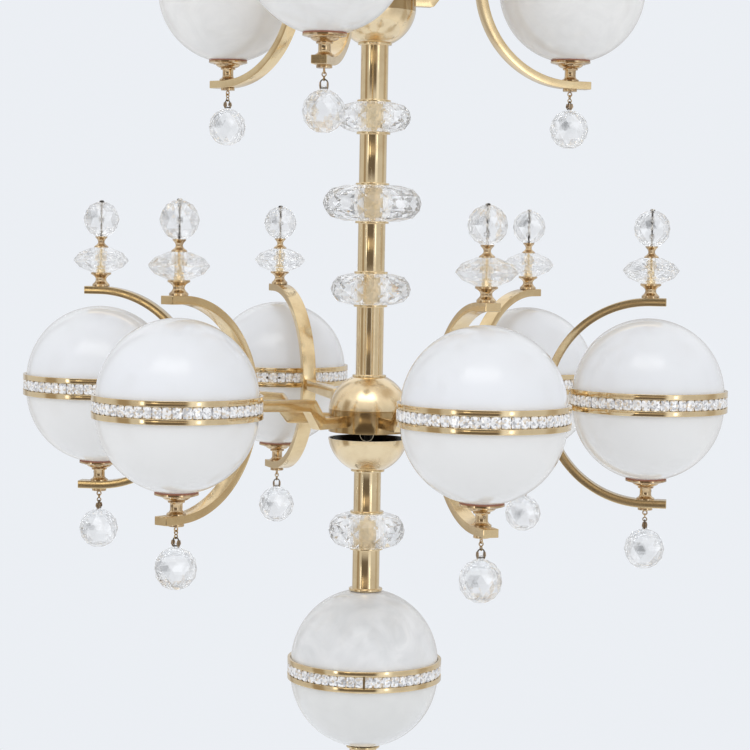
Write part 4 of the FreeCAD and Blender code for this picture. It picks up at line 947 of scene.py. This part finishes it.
def finialRodShape():
    # a pin through the ball with a knob on top; its radius swells at each bead:
    # pin + (bead - pin) * cos(turns of the beads) ^ 4, where the cosine isn't negative
    z = np.linspace(collarTop, knobFoot, finial["pinSteps"])
    share = (z - collarTop) / (knobFoot - collarTop)
    beads = np.maximum(0, np.cos(share * 2 * math.pi * finial["beads"])) ** 4
    pin = np.stack([finial["pin"] + (finial["bead"] - finial["pin"]) * beads, z], -1)
    low = collarTop - finial["pinSink"]
    return turned(np.vstack([(0, low), (finial["pin"], low), pin, np.array(finial["knob"]) + (0, knobFoot)]),
                  segments=24, closed=False)


def sleeveShape():
    # a short tube that stands in the rondelle's bore, with an eased upper edge, and the stem in it
    s, p, edge = finial["sleeve"], finial["stem"], finial["sleeveEdge"]
    low, high = baseTop + stem["seat"], baseTop + finial["sleeveHeight"]
    return turned([(0, low), (s, low), (s, high - edge), (s - edge, high), (p, high), (p, rondelleTop),
                   (0, rondelleTop)], segments=40, closed=False)


def screwShape(surface, height):
    # a set screw that lies along +X with its end just proud of a neck, and a round socket in it
    r, s, end = finial["screw"], finial["socket"], surface + finial["proud"]
    back, bottom = surface - finial["screwDepth"], end - finial["socketDepth"]
    profile = [(0, back), (r, back), (r, end), (s, end), (s, bottom), (0, bottom)]
    return moved(outwards(turned(profile, segments=18, closed=False)), (0, 0, height))


rondelle = boredStone(rondelleShares, finial["rondelle"], finial["rondelleHeight"],
                      baseTop + finial["rondelleHeight"] / 2, finial["rondelleFacets"],
                      finial["sleeve"] + stem["seat"])
finialBall = faceted(ballShares * finial["ball"] + (0, ballLevel), finial["ballFacets"])
setScrews = joined([screwShape(cup["neck"], (neckFoot + neckTop) / 2),
                    screwShape(finial["neck"], barTop + finial["base"]["height"] / 2)])
for name, shape, material, slot, replaced in (
        ("globeCups", cupShape(), turnedBrass, "polished_brass", ("globe_cups",)),
        ("cupGaskets", gasketShape(), plain["gasketRubber"], "gasket_rubber", ("cup_gaskets",)),
        ("finialBases", spoolShape(barTop, finial["base"]), turnedBrass, "polished_brass", ("finial_bases",)),
        ("finialRondelles", rondelle, cutCrystal, "cut_crystal", ("finial_rondelles",)),
        ("finialCollars", spoolShape(rondelleTop, finial["collar"]), turnedBrass, "polished_brass",
         ("finial_collars",)),
        ("finialBalls", finialBall, cutCrystal, "cut_crystal", ("finial_balls",)),
        ("finialPins", finialRodShape(), plain["chainPin"], "dark_pin", ("finial_rods",)),
        ("finialSleeves", sleeveShape(), polishedBrass, "polished_brass", ()),
        ("setScrews", setScrews, plain["darkPin"], "plated_steel", ("set_screws",))):
    piece(name, scattered(shape, armLights), material, replaced)
print("cups and finials made:", len(armLights))


# Hanging drops

drop = {"disc": 0.0088, "discHeight": 0.0032, "discEdge": 0.0007, "rimSteps": 4, "eye": 0.0025,
        "eyeWire": 0.0008, "shank": 0.0012, "link": 0.0023, "linkWire": 0.00065, "clip": 0.0042,
        "clipWire": 0.00075, "leg": 0.00515, "pinEnd": 0.0005, "pinMiddle": 0.001, "gap": 0.00005,
        "leafWidth": 0.0068, "leafCrown": 0.7, "leafTip": 0.002, "leafShoulder": 0.0024,
        "leafHeight": 0.0065, "leafRound": 0.0007, "leafThick": 0.0009, "leafEdge": 0.0002, "ball": 0.024,
        "facets": 12, "pinLift": 0.0012, "neck": 0.003, "neckTop": 0.0022, "neckEdge": 0.0006,
        "neckShare": 0.9, "turnStep": 0.37}
discFoot = footBottom - drop["discHeight"]
eyeLevel = discFoot - drop["eye"] - drop["eyeWire"]
linkTop = -globe["hingeBelow"] - (drop["link"] - drop["linkWire"] - drop["eyeWire"] - drop["gap"])
linkLow = linkTop - 2 * drop["link"]
clipCrown = linkLow - drop["link"] + drop["linkWire"] + drop["clipWire"] + drop["gap"]
clipBend = clipCrown - drop["clip"]
dropHinge = clipBend - drop["leg"]


def circlePath(radius, level, way, count=28):
    # a circle stood upright: across X for way 0, across Y for way 1
    a = roundTurns(count)
    flat = radius * np.cos(a)
    zero = np.zeros(count)
    x, y = (flat, zero) if way == 0 else (zero, flat)
    return np.stack([x, y, level + radius * np.sin(a)], -1)


def eyeScrewShape():
    # a broad disc with eased rims under the bracket, a short shank, and the eye
    r, w = drop["disc"], drop["eyeWire"]
    steps = drop["rimSteps"]
    corners = [(0, discFoot), (r, discFoot), (r, footBottom), (0, footBottom)]
    rims = eased(corners, drop["discEdge"], steps)[steps:-steps]
    disc = turned(np.vstack([(0, discFoot), rims, (0, footBottom)]), segments=48, closed=False)
    return joined([disc, rod(drop["shank"], discFoot - w, discFoot + w, segments=20),
                   wire(circlePath(drop["eye"], eyeLevel, 0), w, sides=12, closed=True)])


def linkShape():
    # two small rings at right angles
    return joined([wire(circlePath(drop["link"], level, way), drop["linkWire"], closed=True)
                   for level, way in ((linkTop, 1), (linkLow, 0))])


def clipShape():
    # a bow over two legs, and the pin through the ball's neck
    r, end = drop["clip"], drop["clip"] + drop["pinEnd"]
    pin = np.array([(0, end, dropHinge), (0, drop["pinMiddle"], dropHinge), (0, -end, dropHinge)])
    return joined([wire(path, drop["clipWire"]) for path in (bowPath(r, clipBend, dropHinge, 0), pin)])


def leafShapes():
    # a kite-shaped leaf on each leg of the clip
    w, s = drop["leafWidth"] / 2, drop["leafShoulder"]
    crown, high = w * drop["leafCrown"], drop["leafHeight"]
    kite = [(0, -drop["leafTip"]), (w, s), (crown, high), (-crown, high), (-w, s)]
    leaf = plate(eased(kite, drop["leafRound"]) + (0, dropHinge), drop["leafThick"], drop["leafEdge"])
    return joined([moved(leaf, (0, side * drop["clip"], 0)) for side in (-1, 1)])


def dropBallShape():
    level = dropHinge - drop["ball"] - drop["pinLift"]
    ball = faceted(ballShares * drop["ball"] + (0, level), drop["facets"])
    n, edge, top = drop["neck"], drop["neckEdge"], dropHinge + drop["neckTop"]
    foot = level + drop["ball"] * drop["neckShare"]
    profile = [(0, foot), (n, foot), (n, top - edge), (n - edge, top), (0, top)]
    return joined([ball, turned(profile, segments=12, closed=False)])


piece("eyeScrews", scattered(eyeScrewShape(), drops), turnedBrass, ("eye_screws",))
for light in drops:
    number = light["number"]
    ball = moved(dropBallShape(), turn=drop["turnStep"] * number)
    for name, shape, material, slot, replaced, body in (
            ("dropLink", linkShape(), plain["goldWire"], "dark_pin", (f"drop_hanger_{number}",), "hanger"),
            ("dropClip", clipShape(), plain["darkPin"], "dark_pin", (), "hanger"),
            ("dropLeaves", leafShapes(), plain["agedLeaf"], "dark_pin", (), "hanger"),
            ("dropBall", ball, cutCrystal, "cut_crystal", (f"drop_ball_{number}",), "ball")):
        piece(f"{name}{number}", scattered(shape, [light]), material, replaced, f"{body}_{number}")
print("drops made:", len(drops))


# Wire loop under the lower drum

loop = {"radius": 0.008, "wire": 0.00045, "reach": 0.040, "turn": -84.0, "show": 0.0075, "web": 0.0041}


def loopShape():
    # a half circle under two legs, flat across the way out from the stem
    low = seams[1] - hub["drum"] - hub["drop"] + loop["show"]
    path = bowPath(loop["radius"], low, seams[1] - loop["web"], 180)
    bow = moved(wire(path, loop["wire"], sides=8), (loop["reach"], 0, 0))
    return moved(bow, turn=math.radians(loop["turn"]))


piece("hubWireLoop", loopShape(), plain["loopWire"], ("hub_wire",))


# Nodes that stay as they are get their finish

finishes = {"ceiling_plate": "platedSteel", "threaded_rod": "darkSteel", "stem_nuts": "platedSteel",
            "lamp_holders": "holderPlastic", "lamps": "frostedLamp"}
for name, node in nodes.items():
    if name not in dressed:
        node.data.materials.clear()
        node.data.materials.append(plain[finishes[name]])
print("nodes kept:", sorted(set(nodes) - dressed))


# Floor, light and camera

studio = {"floorLevel": -2.45, "floorRadius": 2.6, "paper": (0.82, 0.845, 0.875, 1),
          "grain": (0.86, 0.875, 0.90, 1), "paperRough": 0.9, "background": (0.835, 0.862, 0.902, 1),
          "fill": (0.93, 0.945, 0.965, 1), "aim": (0, 0, -0.75)}

# The room as brass and glass see it. Its levels go from 0, straight down, to 1, straight up.
# Each patch: middle turn, half width, middle height, half height, soft edge, colour; turns and
# heights are degrees, and turn 0 is +X
room = {"levels": ((0.34, 0.88), (0.42, 0.64), (0.55, 0.64), (0.68, 0.95)), "glassShare": 0.30, "cells": 5.0,
        "cellLevels": ((0.08, 0.24), (0.14, 0.92), (0.70, 1.0), (0.78, 1.25)),
        "patches": (
            (-92, 31, -3, 16, 5, (0.16, 0.135, 0.11)),
            (-92, 33, -2.1, 2.8, 1, (0.60, 0.51, 0.39)),
            (-106, 5, -1.6, 2.6, 1.2, (1.7, 1.5, 1.1)),
            (-153, 14, 0, 34, 6, (0.38, 0.32, 0.24)),
            (16, 14, 0, 30, 8, (0.50, 0.46, 0.40)),
            (88, 14, 0, 35, 9, (0.56, 0.55, 0.54)),
            (140, 10, 10, 40, 9, (0.45, 0.42, 0.38)),
            (-50, 13, 0, 24, 6, (0.95, 0.98, 1.02)),
            (8, 36, 50, 20, 14, (0.62, 0.55, 0.46)),
            (-90, 44, 52, 18, 15, (2.9, 2.9, 2.85)),
            (-124, 3.5, -4, 8, 2.5, (2.6, 2.6, 2.5)),
            (-48, 3.5, -4, 8, 2.5, (2.8, 2.8, 2.7)))}


def buildFloor():
    # a round sheet of pale paper far below the lamp
    level = studio["floorLevel"]
    shape = turned([(0.0, level), (studio["floorRadius"], level)], closed=False)
    material, tree, shader = newMaterial("palePaper")
    grain = addNode(tree, "TexNoise", Vector=objectPlace(tree), Scale=5.0, Detail=5.0).outputs["Fac"]
    feed(tree, shader, {"Base Color": mixColours(tree, grain, studio["paper"], studio["grain"]),
                        "Roughness": studio["paperRough"]})
    added("paperFloor", meshOf("paperFloor", shape, material))


patchInputs = ("Turn", "Height", "Middle Turn", "Half Width", "Middle Height", "Half Height", "Edge")


def buildPatchMask():
    # 1 inside a patch of the room, falling to 0 over its soft edge: the smaller of
    # clip((half width - |turn - middle|) / edge) and clip((half height - |height - middle|) / edge)
    group, given, result = nodeGroup("roomPatch", dict.fromkeys(patchInputs, 0.0), ("Mask",))
    away = mathNode(group, "SUBTRACT", given.outputs["Turn"], given.outputs["Middle Turn"])
    wrapped = mathNode(group, "WRAP", away, 180.0, -180.0)
    raised = mathNode(group, "SUBTRACT", given.outputs["Height"], given.outputs["Middle Height"])
    masks = []
    for value, half in ((wrapped, "Half Width"), (raised, "Half Height")):
        inside = mathNode(group, "SUBTRACT", given.outputs[half], mathNode(group, "ABSOLUTE", value))
        masks.append(mathNode(group, "DIVIDE", inside, given.outputs["Edge"], clamp=True))
    feed(group, result, {"Mask": mathNode(group, "MULTIPLY", *masks)})
    return group


def buildWorld():
    # the camera sees one pale colour and matt surfaces an even cool white; brass sees the room with
    # its patches, and clear glass the same room with the patches faint, broken into small pale, dark
    # and bright cells for the things that stand in a room
    world = bpy.data.worlds.new("paleRoom")
    scene.world = world
    world.use_nodes = True
    tree = world.node_tree
    place = addNode(tree, "TexCoord").outputs["Generated"]
    parts = addNode(tree, "SeparateXYZ", Vector=place)
    degrees = 180 / math.pi
    turn = mathNode(tree, "ARCTAN2", parts.outputs["Y"], parts.outputs["X"])
    turn = mathNode(tree, "MULTIPLY", turn, degrees)
    height = mathNode(tree, "MULTIPLY", mathNode(tree, "ARCSINE", parts.outputs["Z"]), degrees)
    share = mathNode(tree, "ADD", mathNode(tree, "DIVIDE", height, 180.0), 0.5)
    level = ramp(tree, share, room["levels"])
    patchMask = buildPatchMask()
    for *numbers, colour in room["patches"]:
        patch = placeGroup(tree, patchMask, **dict(zip(patchInputs, (turn, height, *numbers))))
        level = mixColours(tree, patch.outputs["Mask"], level, colour + (1,))
    ray = addNode(tree, "LightPath").outputs
    grey = addNode(tree, "RGBToBW", Color=level).outputs[0]
    cells = addNode(tree, "TexVoronoi", Vector=place, Scale=room["cells"]).outputs["Color"]
    faint = mixColours(tree, room["glassShare"], studio["background"], grey)
    faint = mixColours(tree, 1.0, faint, ramp(tree, cells, room["cellLevels"]), "MULTIPLY")
    seen = mixColours(tree, ray["Is Glossy Ray"], studio["fill"], level)
    seen = mixColours(tree, ray["Is Transmission Ray"], seen, faint)
    feed(tree, tree.nodes["Background"],
         {"Color": mixColours(tree, ray["Is Camera Ray"], seen, studio["background"]), "Strength": 1.0})


# Name, place, size and power of each
lamps = (("leftSoftbox", (-2.3, -2.6, 1.3), (1.3, 1.8), 15.0),
         ("rightSoftbox", (2.5, -2.2, 0.9), (1.0, 1.6), 11.0),
         ("backSoftbox", (0.6, 3.0, 1.2), (2.0, 1.2), 8.0))


def buildLamps():
    for name, place, size, power in lamps:
        light = bpy.data.lights.new(name, "AREA")
        light.shape = "RECTANGLE"
        light.size, light.size_y = size
        light.energy = power
        made = added(name, light)
        made.location = place
        made.rotation_euler = (Vector(studio["aim"]) - Vector(place)).to_track_quat("-Z", "Y").to_euler()
        made.visible_glossy = False
        made.visible_transmission = False


view = {"turn": 8.3, "distance": 2.637, "aside": 0.007, "aboveSeam": 0.2166, "pitch": 3.81, "roll": 1.0,
        "focal": 2179.0, "frame": 750.0, "sensor": 36.0}


def buildCamera():
    # stands in front of the stem, a little above the lower hub, looks slightly down, and is rolled
    # so that the stem's top leans to the right
    made = bpy.data.cameras.new("photoView")
    made.sensor_width = view["sensor"]
    made.lens = view["sensor"] * view["focal"] / view["frame"]
    camera = added("photoView", made)
    turn = Matrix.Rotation(math.radians(view["turn"]), 4, "Z")
    camera.location = turn @ Vector((view["aside"], -view["distance"], seams[1] + view["aboveSeam"]))
    facing = Matrix.Rotation(math.radians(90 - view["pitch"]), 4, "X")
    roll = Matrix.Rotation(math.radians(view["roll"]), 4, "Z")
    camera.rotation_euler = (turn @ facing @ roll).to_euler()
    scene.camera = camera


buildFloor()
buildWorld()
buildLamps()
buildCamera()
scene.view_settings.view_transform = "Standard"
print("studio made:", len(lamps), "lamps")
